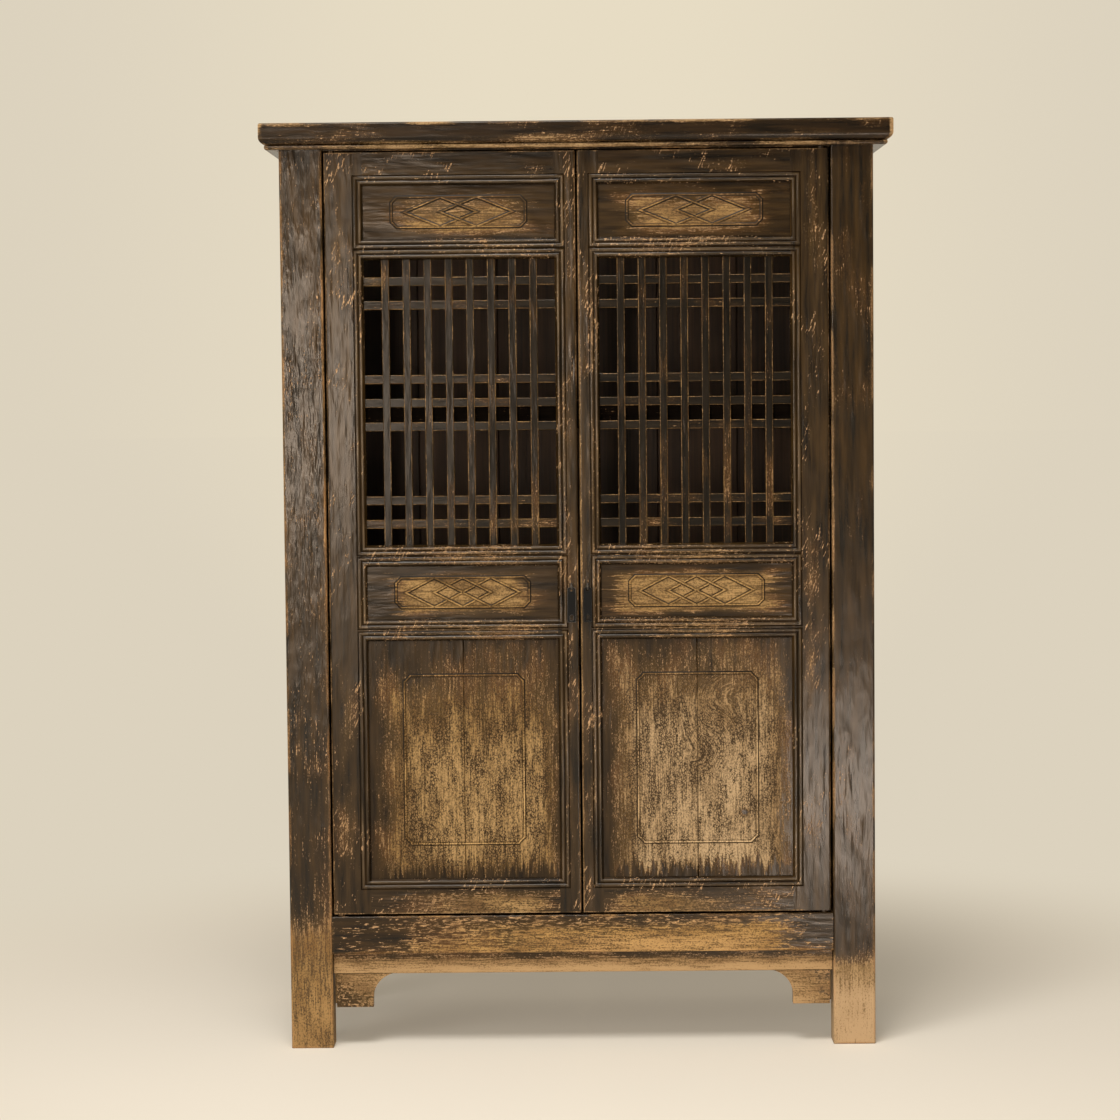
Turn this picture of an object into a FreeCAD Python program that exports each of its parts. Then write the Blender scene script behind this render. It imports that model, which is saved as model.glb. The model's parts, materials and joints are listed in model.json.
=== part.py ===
import FreeCAD, Part
import math
import os

# A tall two-door book cabinet in worn black lacquer. Millimetres, Z up, X to the
# right seen from the front, Y to the back, origin at the middle of the floor area.

Vec = FreeCAD.Vector

# Overall sizes
height = 1860.0
body_width = 1183.0
body_depth = 500.0

# Clearances and small allowances
overrun = 2.0
hinge_clearance = 0.05
end_clearance = 0.3
door_side_gap = 4.0
door_meeting_gap = 4.4
door_top_gap = 3.5
door_bottom_gap = 5.0
door_setback = 1.0
door_stop_gap = 1.0

# Legs
leg_width = 85.0
leg_depth = 66.0
leg_edge_radius = 4.0

# Cap
cap_overhang_front = 38.0
cap_overhang_side = 36.5
cap_overhang_back = 10.0
cap_thickness = 52.0
cap_member_width = 120.0
cap_plate_thickness = 19.5
cap_top_radius = 4.0
cap_fascia_height = 26.0
cap_round_height = 16.0
cap_round_inset = 12.5
cap_bead_recess = 1.2
cap_bead_swell = 3.2
cap_board_thickness = 12.0
cap_board_tongue = 8.0
cap_board_sink = 3.0
cap_tongue_thickness = 6.0
cap_batten_width = 60.0
cap_batten_tenon = 20.0
leg_tenon_side = 26.0
leg_tenon_height = 12.0

# Rails of the carcase
head_rail_front_drop = 1.5
head_rail_side_height = 80.5
rail_thickness = 42.0
side_rail_thickness = 40.0
side_rail_setback = 2.0
bottom_rail_height = 76.5
bottom_rail_z = 192.0
waist_rail_height = 52.0
rail_tenon = 28.0
rail_shoulder = 9.0
rail_edge_radius = 3.0

# Aprons and spandrels
apron_height = 42.5
apron_thickness = 20.0
apron_setback = 12.0
apron_tenon = 12.0
spandrel_drop = 68.5
spandrel_side_gap = 6.5
spandrel_foot = 81.0
spandrel_straight = 18.0
spandrel_radius = 52.0

# Boards, shelves and bearers
panel_thickness = 12.0
panel_tongue = 8.0
panel_inset = 13.0
back_board_thickness = 14.0
back_board_inset = 16.0
back_board_count = 6
floor_board_z = 241.0
shelf_thickness = 14.0
shelf_board_count = 3
shelf_seat_gap = 0.3
shelf_upper_z = 1305.0
shelf_lower_z = 771.0
shelf_rail_height = 55.0
shelf_rail_thickness = 22.0
waist_back_thickness = 22.0
bearer_height = 40.0
bearer_thickness = 24.0
bearer_tenon = 8.0
shelf_rest = 14.0

# Doors
door_thickness = 32.0
door_edge_radius = 4.0
door_back_radius = 12.0
stile_outer_width = 76.3
stile_inner_width = 42.0
top_rail_height = 66.0
bottom_door_rail_height = 70.0
upper_rail_height = 42.0
middle_rail_height = 42.5
lower_rail_height = 44.5
top_panel_height = 105.0
middle_panel_height = 105.5
door_rail_tenon = 18.0
door_tenon_thickness = 9.0
door_tenon_shoulder = 12.0

# Beaded moulding round every opening of a door, seen in section
moulding_width = 21.0
moulding_depth = 9.0
bead_width = 6.0
inner_bead_start = 3.2
inner_bead_foot = 4.4
inner_bead_crest = 2.0
inner_bead_end = 2.8
bead_groove_depth = 3.8
bead_groove_width = 3.4
outer_bead_start = 1.6
outer_bead_crest = 0.2
outer_bead_end = 0.8
edge_groove_depth = 2.0

# Door panels with their raised line work
door_panel_thickness = 10.0
door_panel_tongue = 6.0
door_panel_depth = 10.5
line_width = 4.2
line_height = 1.6
small_frame_width = 268.0
small_frame_height = 59.0
small_frame_chamfer = 15.0
large_frame_width = 240.0
large_frame_margin = 70.25
large_frame_chamfer = 22.0
top_lozenge_half_width = 69.5
middle_lozenge_half_width = 53.5
lozenge_half_height = 28.0

# Lattice
lattice_bar_width = 15.0
lattice_bar_thickness = 18.0
lattice_depth = 10.0
lattice_tenon = 5.0
lattice_share = 0.5422
upright_count = 8
upright_end_gap = 35.6
row_end_offset = 43.0
row_pair_pitch = 47.3

# Wooden pivots of the doors
pivot_radius = 8.0
pivot_from_edge = 14.0
pivot_from_face = 12.0
pivot_in_head = 12.0
pivot_in_foot = 10.0

# Iron cotters and drop pulls
eye_radius = 5.5
wire_radius = 1.5
eye_standoff = 6.0
eye_below_rail = 42.0
eye_from_middle = 16.3
shank_radius = 2.2
clinch_length = 12.0
pull_width = 17.0
pull_length = 68.5
pull_thickness = 2.5
pull_hole_radius = 3.2
pull_rim = 2.6
pull_shoulder = 12.0
pull_top_width = 11.5
pull_slot_width = 7.0
pull_slot_height = 11.0
pull_slot_foot = 4.0

# Places that follow from the sizes
total_depth = body_depth + cap_overhang_front + cap_overhang_back
front = cap_overhang_front - total_depth / 2
back = front + body_depth
half_body = body_width / 2
half_bay = half_body - leg_width
cap_bottom = height - cap_thickness
cap_roof = height - cap_plate_thickness
half_cap = half_body + cap_overhang_side
cap_front_y = front - cap_overhang_front
cap_back_y = back + cap_overhang_back
head_rail_bottom = cap_bottom - head_rail_front_drop
side_rail_bottom = cap_roof - head_rail_side_height
bottom_rail_top = bottom_rail_z + bottom_rail_height
side_bay = (front + leg_depth, back - leg_depth)
side_rail_x = (-half_body + side_rail_setback, -half_body + side_rail_setback + side_rail_thickness)
side_panel_x = (-half_body + panel_inset, -half_body + panel_inset + panel_thickness)
shelf_lower_under = shelf_lower_z - shelf_thickness
shelf_upper_under = shelf_upper_z - shelf_thickness
waist_rail_bottom = shelf_lower_under - waist_rail_height
back_board_y = (back - back_board_inset - back_board_thickness, back - back_board_inset)

door_face = front + door_setback
door_back = door_face + door_thickness
door_bottom = bottom_rail_top + door_bottom_gap
door_top = head_rail_bottom - door_top_gap
door_outer = -half_bay + door_side_gap
door_inner = -door_meeting_gap / 2
opening_x = (door_outer + stile_outer_width, door_inner - stile_inner_width)
lattice_top = door_top - top_rail_height - top_panel_height - upper_rail_height
lower_panel_foot = door_bottom + bottom_door_rail_height
two_open_heights = (lattice_top - middle_rail_height - middle_panel_height - lower_rail_height
                    - lower_panel_foot)
lattice_height = two_open_heights * lattice_share
pivot_x = door_outer + pivot_from_edge
pivot_y = door_face + pivot_from_face
shelf_rail_y = (door_back + door_stop_gap, door_back + door_stop_gap + shelf_rail_thickness)
eye_y = door_face - eye_standoff
eye_height = lattice_top - lattice_height - middle_rail_height - eye_below_rail
wire_top_z = eye_height - math.sqrt((eye_radius - wire_radius) ** 2 - (pull_thickness / 2) ** 2)
hole_z = wire_top_z + end_clearance - pull_hole_radius


def grown(span, amount):
    """A span made longer by an amount at both ends."""
    return (span[0] - amount, span[1] + amount)


def block(x, y, z):
    """A straight piece of timber between two places on each axis."""
    size = (x[1] - x[0], y[1] - y[0], z[1] - z[0])
    return Part.makeBox(size[0], size[1], size[2], Vec(x[0], y[0], z[0]))


def mirrored(shape):
    """The same piece on the other side of the middle."""
    return shape.mirror(Vec(0, 0, 0), Vec(1, 0, 0))


def group(shapes):
    """Several loose solids as one node."""
    return Part.makeCompound([solid for shape in shapes for solid in shape.Solids])


def cut_all(shape, tools):
    """Take every tool away from a piece."""
    return shape.cut(Part.makeCompound(tools)) if tools else shape


def rounded(shape, radius, wanted):
    """Round those edges of a piece that a test picks out."""
    edges = [edge for edge in shape.Edges if wanted(edge)]
    return shape.makeFillet(radius, edges)


def runs_along(edge, axis):
    """Whether an edge is straight and parallel to an axis."""
    if edge.Curve.TypeId != "Part::GeomLine":
        return False
    return abs(edge.Curve.Direction.dot(axis)) > math.cos(math.radians(1))


def outline_wire(points, place):
    """A closed wire: two points in a row make a line, a triple is an arc by its middle point."""
    edges = []
    here = points[0]
    for step in points[1:] + [points[0]]:
        if isinstance(step[0], tuple):
            edges.append(Part.Arc(place(*here), place(*step[0]), place(*step[1])).toShape())
            here = step[1]
        else:
            edges.append(Part.LineSegment(place(*here), place(*step)).toShape())
            here = step
    return Part.Wire(edges)


def prism(points, place, direction):
    """A closed outline pushed along a direction."""
    return Part.Face(outline_wire(points, place)).extrude(direction)


def rail_along_x(half, y, z, tenon=rail_tenon):
    """A rail between the left and right legs, with a stub tenon at each end."""
    core = block((-half, half), y, z)
    tongue = block((-half - tenon, half + tenon), grown(y, -rail_shoulder), grown(z, -rail_shoulder))
    return core.fuse(tongue).removeSplitter()


def rail_along_y(x, z, tenon=rail_tenon):
    """A rail of the left side between the front and back legs, with its stub tenons."""
    core = block(x, side_bay, z)
    tongue = block(grown(x, -rail_shoulder), grown(side_bay, tenon), grown(z, -rail_shoulder))
    return core.fuse(tongue).removeSplitter()


def front_edges_rounded(shape, radius):
    """Soften the two long front edges of a rail."""
    def picked(edge):
        on_front = abs(edge.CenterOfMass.y - shape.BoundBox.YMin) < end_clearance
        return on_front and runs_along(edge, Vec(1, 0, 0))
    return rounded(shape, radius, picked)


def make_head_rails():
    front_y = (front, front + rail_thickness)
    front_rail = rail_along_x(half_bay, front_y, (head_rail_bottom, cap_roof))
    bore = Part.makeCylinder(
        pivot_radius + hinge_clearance, pivot_in_head + pivot_in_foot + overrun,
        Vec(pivot_x, pivot_y, head_rail_bottom))
    front_rail = front_rail.cut(Part.makeCompound([bore, mirrored(bore)]))
    back_y = (back - side_rail_setback - rail_thickness, back - side_rail_setback)
    back_rail = rail_along_x(half_bay, back_y, (side_rail_bottom, cap_roof))
    left = rail_along_y(side_rail_x, (side_rail_bottom, cap_roof))
    return {"head_rail_front": front_rail, "head_rail_back": back_rail,
            "head_rail_left": left, "head_rail_right": mirrored(left)}


def make_bottom_rails():
    z = (bottom_rail_z, bottom_rail_top)
    front_rail = rail_along_x(half_bay, (front, front + rail_thickness), z)
    front_rail = front_edges_rounded(front_rail, rail_edge_radius)
    bore = Part.makeCylinder(
        pivot_radius + hinge_clearance, pivot_in_foot + end_clearance,
        Vec(pivot_x, pivot_y, bottom_rail_top - pivot_in_foot - end_clearance))
    front_rail = front_rail.cut(Part.makeCompound([bore, mirrored(bore)]))
    back_y = (back - side_rail_setback - rail_thickness, back - side_rail_setback)
    back_rail = rail_along_x(half_bay, back_y, z)
    left = rail_along_y(side_rail_x, z)
    return {"bottom_rail_front": front_rail, "bottom_rail_back": back_rail,
            "bottom_rail_left": left, "bottom_rail_right": mirrored(left)}


def make_waist_rails():
    z = (waist_rail_bottom, shelf_lower_under)
    left = rail_along_y(side_rail_x, z)
    y = (back_board_y[0] - waist_back_thickness, back_board_y[0])
    core = block((-half_bay, half_bay), y, z)
    tongue = block(grown((-half_bay, half_bay), rail_tenon), y, grown(z, -rail_shoulder))
    return {"waist_rail_left": left, "waist_rail_right": mirrored(left),
            "waist_rail_back": core.fuse(tongue).removeSplitter()}


def make_shelf_rails():
    rails = {}
    for name, top in (("shelf_rail_upper", shelf_upper_z), ("shelf_rail_lower", shelf_lower_z)):
        z = (top - shelf_rail_height, top)
        core = block((-half_bay, half_bay), shelf_rail_y, z)
        tongue = block(grown((-half_bay, half_bay), apron_tenon), shelf_rail_y, grown(z, -rail_shoulder))
        rails[name] = core.fuse(tongue).removeSplitter()
    return rails


def make_bearers():
    """Bearers under the upper shelf, flush with the inner faces of the legs."""
    x = (-half_bay - bearer_thickness, -half_bay)
    z = (shelf_upper_under - bearer_height, shelf_upper_under)
    core = block(x, side_bay, z)
    tongue = block(x, grown(side_bay, bearer_tenon), grown(z, -rail_shoulder))
    left = core.fuse(tongue).removeSplitter()
    return {"shelf_bearers": group([left, mirrored(left)])}


def make_aprons():
    z = (bottom_rail_z - apron_height, bottom_rail_z)
    y = (front + apron_setback, front + apron_setback + apron_thickness)
    core = block((-half_bay, half_bay), y, z)
    tongue = block(grown((-half_bay, half_bay), apron_tenon), grown(y, -apron_thickness / 4), z)
    x = (-half_body + apron_setback, -half_body + apron_setback + apron_thickness)
    side_core = block(x, side_bay, z)
    side_tongue = block(grown(x, -apron_thickness / 4), grown(side_bay, apron_tenon), z)
    left = side_core.fuse(side_tongue).removeSplitter()
    return {"apron_front": core.fuse(tongue).removeSplitter(),
            "apron_left": left, "apron_right": mirrored(left)}


def make_spandrels():
    """Spandrels under the front apron: straight at the foot, then a hollow quarter round."""
    top = bottom_rail_z - apron_height
    low = top - spandrel_drop
    turn = low + spandrel_straight
    rise = top - turn
    reach = spandrel_radius - math.sqrt(spandrel_radius ** 2 - rise ** 2)
    half_rise = rise / 2
    half_reach = spandrel_radius - math.sqrt(spandrel_radius ** 2 - half_rise ** 2)
    points = [(spandrel_side_gap, low), (spandrel_foot, low), (spandrel_foot, turn),
              ((spandrel_foot + half_reach, turn + half_rise), (spandrel_foot + reach, top)),
              (spandrel_side_gap, top)]
    y = front + apron_setback

    def place(along, up):
        return Vec(-half_bay + along, y, up)

    left = prism(points, place, Vec(0, apron_thickness, 0))
    return {"spandrel_left": left, "spandrel_right": mirrored(left)}


def make_side_panels():
    """Floating panels above and below the waist rail of each side."""
    spans = ((bottom_rail_top, waist_rail_bottom), (shelf_lower_under, side_rail_bottom))
    left = group([block(side_panel_x, grown(side_bay, panel_tongue), grown(z, panel_tongue))
                  for z in spans])
    return {"side_panels_left": left, "side_panels_right": mirrored(left)}


def make_back_boards():
    """Upright boards edge to edge across the back."""
    wide = 2 * (half_bay + panel_tongue) / back_board_count
    z = grown((bottom_rail_top, side_rail_bottom), panel_tongue)
    start = -half_bay - panel_tongue
    boards = [block((start + wide * i, start + wide * (i + 1)), back_board_y, z)
              for i in range(back_board_count)]
    return {"back_boards": group(boards)}


def floor_of(boards_x, y, top):
    """Boards side by side from front to back, notched round the four legs."""
    z = (top - shelf_thickness, top)
    wide = (y[1] - y[0]) / shelf_board_count
    notches = []
    for leg_x in ((-half_body, -half_bay + shelf_seat_gap), (half_bay - shelf_seat_gap, half_body)):
        notches.append(block(leg_x, (front, side_bay[0] + shelf_seat_gap), z))
        notches.append(block(leg_x, (side_bay[1] - shelf_seat_gap, back), z))
    boards = []
    for i in range(shelf_board_count):
        board = block((-boards_x, boards_x), (y[0] + wide * i, y[0] + wide * (i + 1)), z)
        boards.append(cut_all(board, notches))
    return group(boards)


def make_shelves():
    shelf_y = (shelf_rail_y[1], back_board_y[0])
    bottom_y = (front + rail_thickness - panel_tongue, back_board_y[0] + panel_tongue)
    lower_half = half_body - side_rail_setback - side_rail_thickness + shelf_rest
    bottom_half = half_body - side_rail_setback - side_rail_thickness + panel_tongue
    upper_half = half_bay + bearer_thickness - end_clearance
    return {"shelf_upper": floor_of(upper_half, shelf_y, shelf_upper_z),
            "shelf_lower": floor_of(lower_half, shelf_y, shelf_lower_z),
            "bottom_boards": floor_of(bottom_half, bottom_y, floor_board_z + shelf_thickness)}


def cap_profile():
    """Section of the cap's outer edge: distance in from its face, and height."""
    fascia_bottom = height - cap_fascia_height
    round_bottom = fascia_bottom - cap_round_height
    bead_in = cap_round_inset + cap_bead_recess
    bead_middle = (round_bottom + cap_bottom) / 2
    corner = cap_top_radius * (1 - math.cos(math.radians(45)))
    bulge = math.cos(math.radians(45))
    return [(cap_member_width, cap_bottom), (cap_member_width, height), (cap_top_radius, height),
            ((corner, height - corner), (0, height - cap_top_radius)),
            (0, fascia_bottom),
            ((cap_round_inset * (1 - bulge), fascia_bottom - cap_round_height * bulge),
             (cap_round_inset, round_bottom)),
            (bead_in, round_bottom),
            ((bead_in - cap_bead_swell, bead_middle), (bead_in, cap_bottom))]


def cap_cavity():
    """The space under the cap that the legs and head rails fill."""
    return block((-half_body, half_body), (front, back), (cap_bottom - overrun, cap_roof))


def leg_tenons():
    """Square tenons on the tops of the four legs, up into the cap."""
    middle = half_body - leg_width / 2
    tenons = []
    for x in (-middle, middle):
        for y in (front + leg_depth / 2, back - leg_depth / 2):
            span_x = grown((x, x), leg_tenon_side / 2)
            span_y = grown((y, y), leg_tenon_side / 2)
            tenons.append(block(span_x, span_y, (cap_roof - overrun, cap_roof + leg_tenon_height)))
    return tenons


def cap_board_parts():
    """The floating board of the cap and the tongue round it."""
    x = grown((-half_cap, half_cap), -cap_member_width)
    y = grown((cap_front_y, cap_back_y), -cap_member_width)
    top = height - cap_board_sink
    board = block(x, y, (top - cap_board_thickness, top))
    low = top - cap_board_thickness
    tongue = block(grown(x, cap_board_tongue), grown(y, cap_board_tongue), (low, low + cap_tongue_thickness))
    return board, tongue


def make_cap():
    points = cap_profile()
    inner_x = half_cap - cap_member_width
    inner_y = cap_front_y + cap_member_width

    def front_place(inward, up):
        return Vec(-half_cap, cap_front_y + inward, up)

    def side_place(inward, up):
        return Vec(-half_cap + inward, cap_front_y, up)

    def plan(corners):
        return prism(corners, lambda x, y: Vec(x, y, cap_bottom - overrun),
                     Vec(0, 0, cap_thickness + 2 * overrun))

    front_bar = prism(points, front_place, Vec(2 * half_cap, 0, 0))
    front_bar = front_bar.common(plan([(-half_cap, cap_front_y), (half_cap, cap_front_y),
                                       (inner_x, inner_y), (-inner_x, inner_y)]))
    side_bar = prism(points, side_place, Vec(0, total_depth, 0))
    side_bar = side_bar.common(plan([(-half_cap, cap_front_y), (-inner_x, inner_y),
                                     (-inner_x, cap_back_y), (-half_cap, cap_back_y)]))
    back_bar = block((-inner_x, inner_x), (cap_back_y - cap_member_width, cap_back_y), (cap_bottom, height))
    board, tongue = cap_board_parts()
    batten_z = (cap_roof - cap_plate_thickness, board.BoundBox.ZMin)
    batten_y = grown((cap_front_y, cap_back_y), -cap_member_width)
    batten = block((-cap_batten_width / 2, cap_batten_width / 2), grown(batten_y, cap_batten_tenon), batten_z)
    tools = [cap_cavity(), tongue] + leg_tenons()
    batten = batten.cut(block((-half_body, half_body), (front, front + rail_thickness), batten_z))
    tools.append(batten)
    left = cut_all(side_bar, tools)
    board = board.fuse(tongue).removeSplitter()
    return {"cap_front": cut_all(front_bar, tools), "cap_left": left, "cap_right": mirrored(left),
            "cap_back": cut_all(back_bar, tools), "cap_board": group([board, batten])}


def make_legs(let_in):
    """Four legs with rounded corners, mortised for everything let into them."""
    def picked(edge):
        return runs_along(edge, Vec(0, 0, 1))

    legs = {}
    tenons = Part.makeCompound(leg_tenons())
    for name, y in (("front", (front, front + leg_depth)), ("back", (back - leg_depth, back))):
        bare = rounded(block((-half_body, -half_bay), y, (0, cap_roof)), leg_edge_radius, picked)
        reach = block(grown((-half_body, -half_bay), overrun), grown(y, overrun), (0, height))
        leg = bare.fuse(tenons.common(reach)).removeSplitter()
        near = [shape for shape in let_in if shape.BoundBox.intersect(leg.BoundBox)]
        leg = cut_all(leg, near)
        legs["leg_%s_left" % name] = leg
        legs["leg_%s_right" % name] = mirrored(leg)
    return legs


def moulding_section():
    """Section cut away to leave the moulding: distance from the opening, depth from the face."""
    crest_in = inner_bead_start + bead_width / 2
    inner_end = inner_bead_start + bead_width
    groove_middle = inner_end + bead_groove_width / 2
    outer_start = inner_end + bead_groove_width
    crest_out = outer_start + bead_width / 2
    outer_end = outer_start + bead_width
    edge_middle = (outer_end + moulding_width) / 2
    return [(0, -overrun), (0, moulding_depth), (inner_bead_start, inner_bead_foot),
            ((crest_in, inner_bead_crest), (inner_end, inner_bead_end)),
            (groove_middle, bead_groove_depth), (outer_start, outer_bead_start),
            ((crest_out, outer_bead_crest), (outer_end, outer_bead_end)),
            (edge_middle, edge_groove_depth), (moulding_width, 0), (moulding_width, -overrun)]


def moulding_ring(x, z):
    """The mitred ring of waste round one opening of a door."""
    points = moulding_section()
    out_x = grown(x, moulding_width)
    out_z = grown(z, moulding_width)
    deep = Vec(0, moulding_depth + 2 * overrun, 0)

    def wedge(corners):
        return prism(corners, lambda along, up: Vec(along, door_face - overrun, up), deep)

    sides = []
    for edge, outer in ((x[0], out_x[0]), (x[1], out_x[1])):
        sign = math.copysign(1, outer - edge)
        bar = prism(points, lambda away, depth: Vec(edge + sign * away, door_face + depth, out_z[0]),
                    Vec(0, 0, out_z[1] - out_z[0]))
        sides.append(bar.common(wedge([(edge, z[0]), (outer, out_z[0]), (outer, out_z[1]), (edge, z[1])])))
    for edge, outer in ((z[0], out_z[0]), (z[1], out_z[1])):
        sign = math.copysign(1, outer - edge)
        bar = prism(points, lambda away, depth: Vec(out_x[0], door_face + depth, edge + sign * away),
                    Vec(out_x[1] - out_x[0], 0, 0))
        sides.append(bar.common(wedge([(x[0], edge), (out_x[0], outer), (out_x[1], outer), (x[1], edge)])))
    return sides


def door_rows():
    """Heights of the door's openings and rails, from the top down."""
    rows = {}
    level = door_top
    for name, tall in (("top_rail", top_rail_height), ("top_panel", top_panel_height),
                       ("upper_rail", upper_rail_height), ("lattice", lattice_height),
                       ("middle_rail", middle_rail_height), ("middle_panel", middle_panel_height),
                       ("lower_rail", lower_rail_height)):
        rows[name] = (level - tall, level)
        level -= tall
    rows["bottom_rail"] = (door_bottom, lower_panel_foot)
    rows["lower_panel"] = (lower_panel_foot, level)
    return rows


def line_ring(corners, width):
    """A raised line along a closed outline with corners on its middle."""
    def place(across, up):
        return Vec(across, door_face + door_panel_depth - line_height, up)

    line = Part.Face(outline_wire(corners, place))
    outer = line.makeOffset2D(width / 2, 2)
    inner = line.makeOffset2D(-width / 2, 2)
    return outer.cut(inner).extrude(Vec(0, line_height + overrun, 0))


def chamfered_frame(middle_x, middle_z, wide, tall, chamfer):
    """Corners of a frame line whose corners are cut off."""
    half_w = wide / 2
    half_t = tall / 2
    corners = []
    for sx, sz, steep in ((-1, -1, 0), (1, -1, 1), (1, 1, 0), (-1, 1, 1)):
        flat_corner = (middle_x + sx * (half_w - chamfer), middle_z + sz * half_t)
        tall_corner = (middle_x + sx * half_w, middle_z + sz * (half_t - chamfer))
        pair = [tall_corner, flat_corner] if steep == 0 else [flat_corner, tall_corner]
        corners += pair
    return corners


def lozenges(middle_x, middle_z, count, half_wide):
    """Outlines of a chain of lozenges, each half over the next."""
    chain = []
    for i in range(count):
        centre = middle_x + (i - (count - 1) / 2) * half_wide
        chain.append([(centre - half_wide, middle_z), (centre, middle_z - lozenge_half_height),
                      (centre + half_wide, middle_z), (centre, middle_z + lozenge_half_height)])
    return chain


def door_panel(z, outlines):
    """A panel of a door with its tongues, and raised lines on its face."""
    y = (door_face + door_panel_depth, door_face + door_panel_depth + door_panel_thickness)
    board = block(grown(opening_x, door_panel_tongue), y, grown(z, door_panel_tongue))
    for corners in outlines:
        board = board.fuse(line_ring(corners, line_width))
    return board


def make_door_panels(rows):
    middle_x = (opening_x[0] + opening_x[1]) / 2
    panels = {}
    for name, count, half_wide in (("top_panel", 2, top_lozenge_half_width),
                                   ("middle_panel", 3, middle_lozenge_half_width)):
        z = rows[name]
        middle_z = (z[0] + z[1]) / 2
        frame = chamfered_frame(middle_x, middle_z, small_frame_width, small_frame_height, small_frame_chamfer)
        panels[name] = door_panel(z, [frame] + lozenges(middle_x, middle_z, count, half_wide))
    z = rows["lower_panel"]
    tall = z[1] - z[0] - 2 * large_frame_margin
    frame = chamfered_frame(middle_x, (z[0] + z[1]) / 2, large_frame_width, tall, large_frame_chamfer)
    whole = door_panel(z, [frame])
    box = whole.BoundBox
    left_half = block((box.XMin, middle_x), (box.YMin, box.YMax), (box.ZMin, box.ZMax))
    right_half = block((middle_x, box.XMax), (box.YMin, box.YMax), (box.ZMin, box.ZMax))
    panels["lower_panel"] = group([whole.common(left_half), whole.common(right_half)])
    return panels


def make_lattice(z):
    """Upright and level bars, halved into each other: the uprights run on in front."""
    face = door_face + lattice_depth
    half_lap = face + lattice_bar_thickness / 2
    y = (face, face + lattice_bar_thickness)
    half = lattice_bar_width / 2
    first = opening_x[0] + upright_end_gap + half
    last = opening_x[1] - upright_end_gap - half
    pitch = (last - first) / (upright_count - 1)
    middle_z = (z[0] + z[1]) / 2
    levels = [middle_z - row_pair_pitch, middle_z, middle_z + row_pair_pitch]
    levels += [z[0] + row_end_offset, z[0] + row_end_offset + row_pair_pitch]
    levels += [z[1] - row_end_offset, z[1] - row_end_offset - row_pair_pitch]
    places = [first + pitch * i for i in range(upright_count)]
    uprights = [block((x - half, x + half), y, grown(z, lattice_tenon)) for x in places]
    bars = [block(grown(opening_x, lattice_tenon), y, (level - half, level + half)) for level in levels]
    back_halves = [block(grown(opening_x, overrun), (half_lap, y[1]), (level - half, level + half))
                   for level in levels]
    front_halves = [block((x - half, x + half), (y[0], half_lap), z) for x in places]
    return group([cut_all(bar, back_halves) for bar in uprights]
                 + [cut_all(bar, front_halves) for bar in bars])


def door_rail(z):
    """A rail of a door with the tenons that enter its stiles."""
    core = block(opening_x, (door_face, door_back), z)
    middle = door_back - door_tenon_thickness
    tongue = block(grown(opening_x, door_rail_tenon), grown((middle, middle), door_tenon_thickness / 2),
                   grown(z, -door_tenon_shoulder))
    return core.fuse(tongue).removeSplitter()


def make_stiles():
    """The two stiles of a door: the outer one carries the pivots, the inner one the cotter."""
    z = (door_bottom, door_top)
    outer = block((door_outer, opening_x[0]), (door_face, door_back), z)
    inner = block((opening_x[1], door_inner), (door_face, door_back), z)

    def at(edge, x, y):
        centre = edge.CenterOfMass
        return abs(centre.x - x) < end_clearance and abs(centre.y - y) < end_clearance

    outer = rounded(outer, door_edge_radius, lambda edge: at(edge, door_outer, door_face))
    outer = rounded(outer, door_back_radius, lambda edge: at(edge, door_outer, door_back))
    inner = rounded(inner, door_edge_radius, lambda edge: at(edge, door_inner, door_face))
    top_pin = Part.makeCylinder(pivot_radius, pivot_in_head + door_top_gap + overrun,
                                Vec(pivot_x, pivot_y, door_top - overrun))
    low_pin = Part.makeCylinder(pivot_radius, pivot_in_foot + door_bottom_gap + overrun,
                                Vec(pivot_x, pivot_y, door_bottom - door_bottom_gap - pivot_in_foot))
    outer = outer.fuse([top_pin, low_pin]).removeSplitter()
    return outer, inner


def make_cotter():
    """A split pin: its eye stands proud of the stile, its legs are clinched behind."""
    x = -eye_from_middle
    eye = Part.makeTorus(eye_radius, wire_radius, Vec(x, eye_y, eye_height), Vec(1, 0, 0))
    start = eye_y + eye_radius
    shank = Part.makeCylinder(shank_radius, door_back - start + wire_radius,
                              Vec(x, start, eye_height), Vec(0, 1, 0))
    clinch = Part.makeCylinder(wire_radius, 2 * clinch_length,
                               Vec(x, door_back + wire_radius, eye_height - clinch_length))
    return eye.fuse([shank, clinch]).removeSplitter()


def make_pull():
    """An iron drop pull that hangs from the cotter's eye by the hole in its head."""
    x = -eye_from_middle
    face = eye_y - pull_thickness / 2
    top = hole_z + pull_hole_radius + pull_rim
    low = top - pull_length - pull_rim
    half = pull_width / 2
    head = pull_top_width / 2
    crown = (top + hole_z) / 2
    points = [(-half, low), (half, low), (half, hole_z - pull_shoulder), (head, hole_z),
              (head, crown), ((0, top), (-head, crown)), (-head, hole_z), (-half, hole_z - pull_shoulder)]

    def place(across, up):
        return Vec(x + across, face, up)

    plate = prism(points, place, Vec(0, pull_thickness, 0))
    hole = Part.makeCylinder(pull_hole_radius, pull_thickness, Vec(x, face, hole_z), Vec(0, 1, 0))
    slot_half = pull_slot_width / 2
    slot_low = low + pull_slot_foot
    slot_turn = slot_low + pull_slot_height - slot_half
    slot = prism([(-slot_half, slot_low), (slot_half, slot_low), (slot_half, slot_turn),
                  ((0, slot_turn + slot_half), (-slot_half, slot_turn))], place, Vec(0, pull_thickness, 0))
    return plate.cut(Part.makeCompound([hole, slot]))


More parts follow.
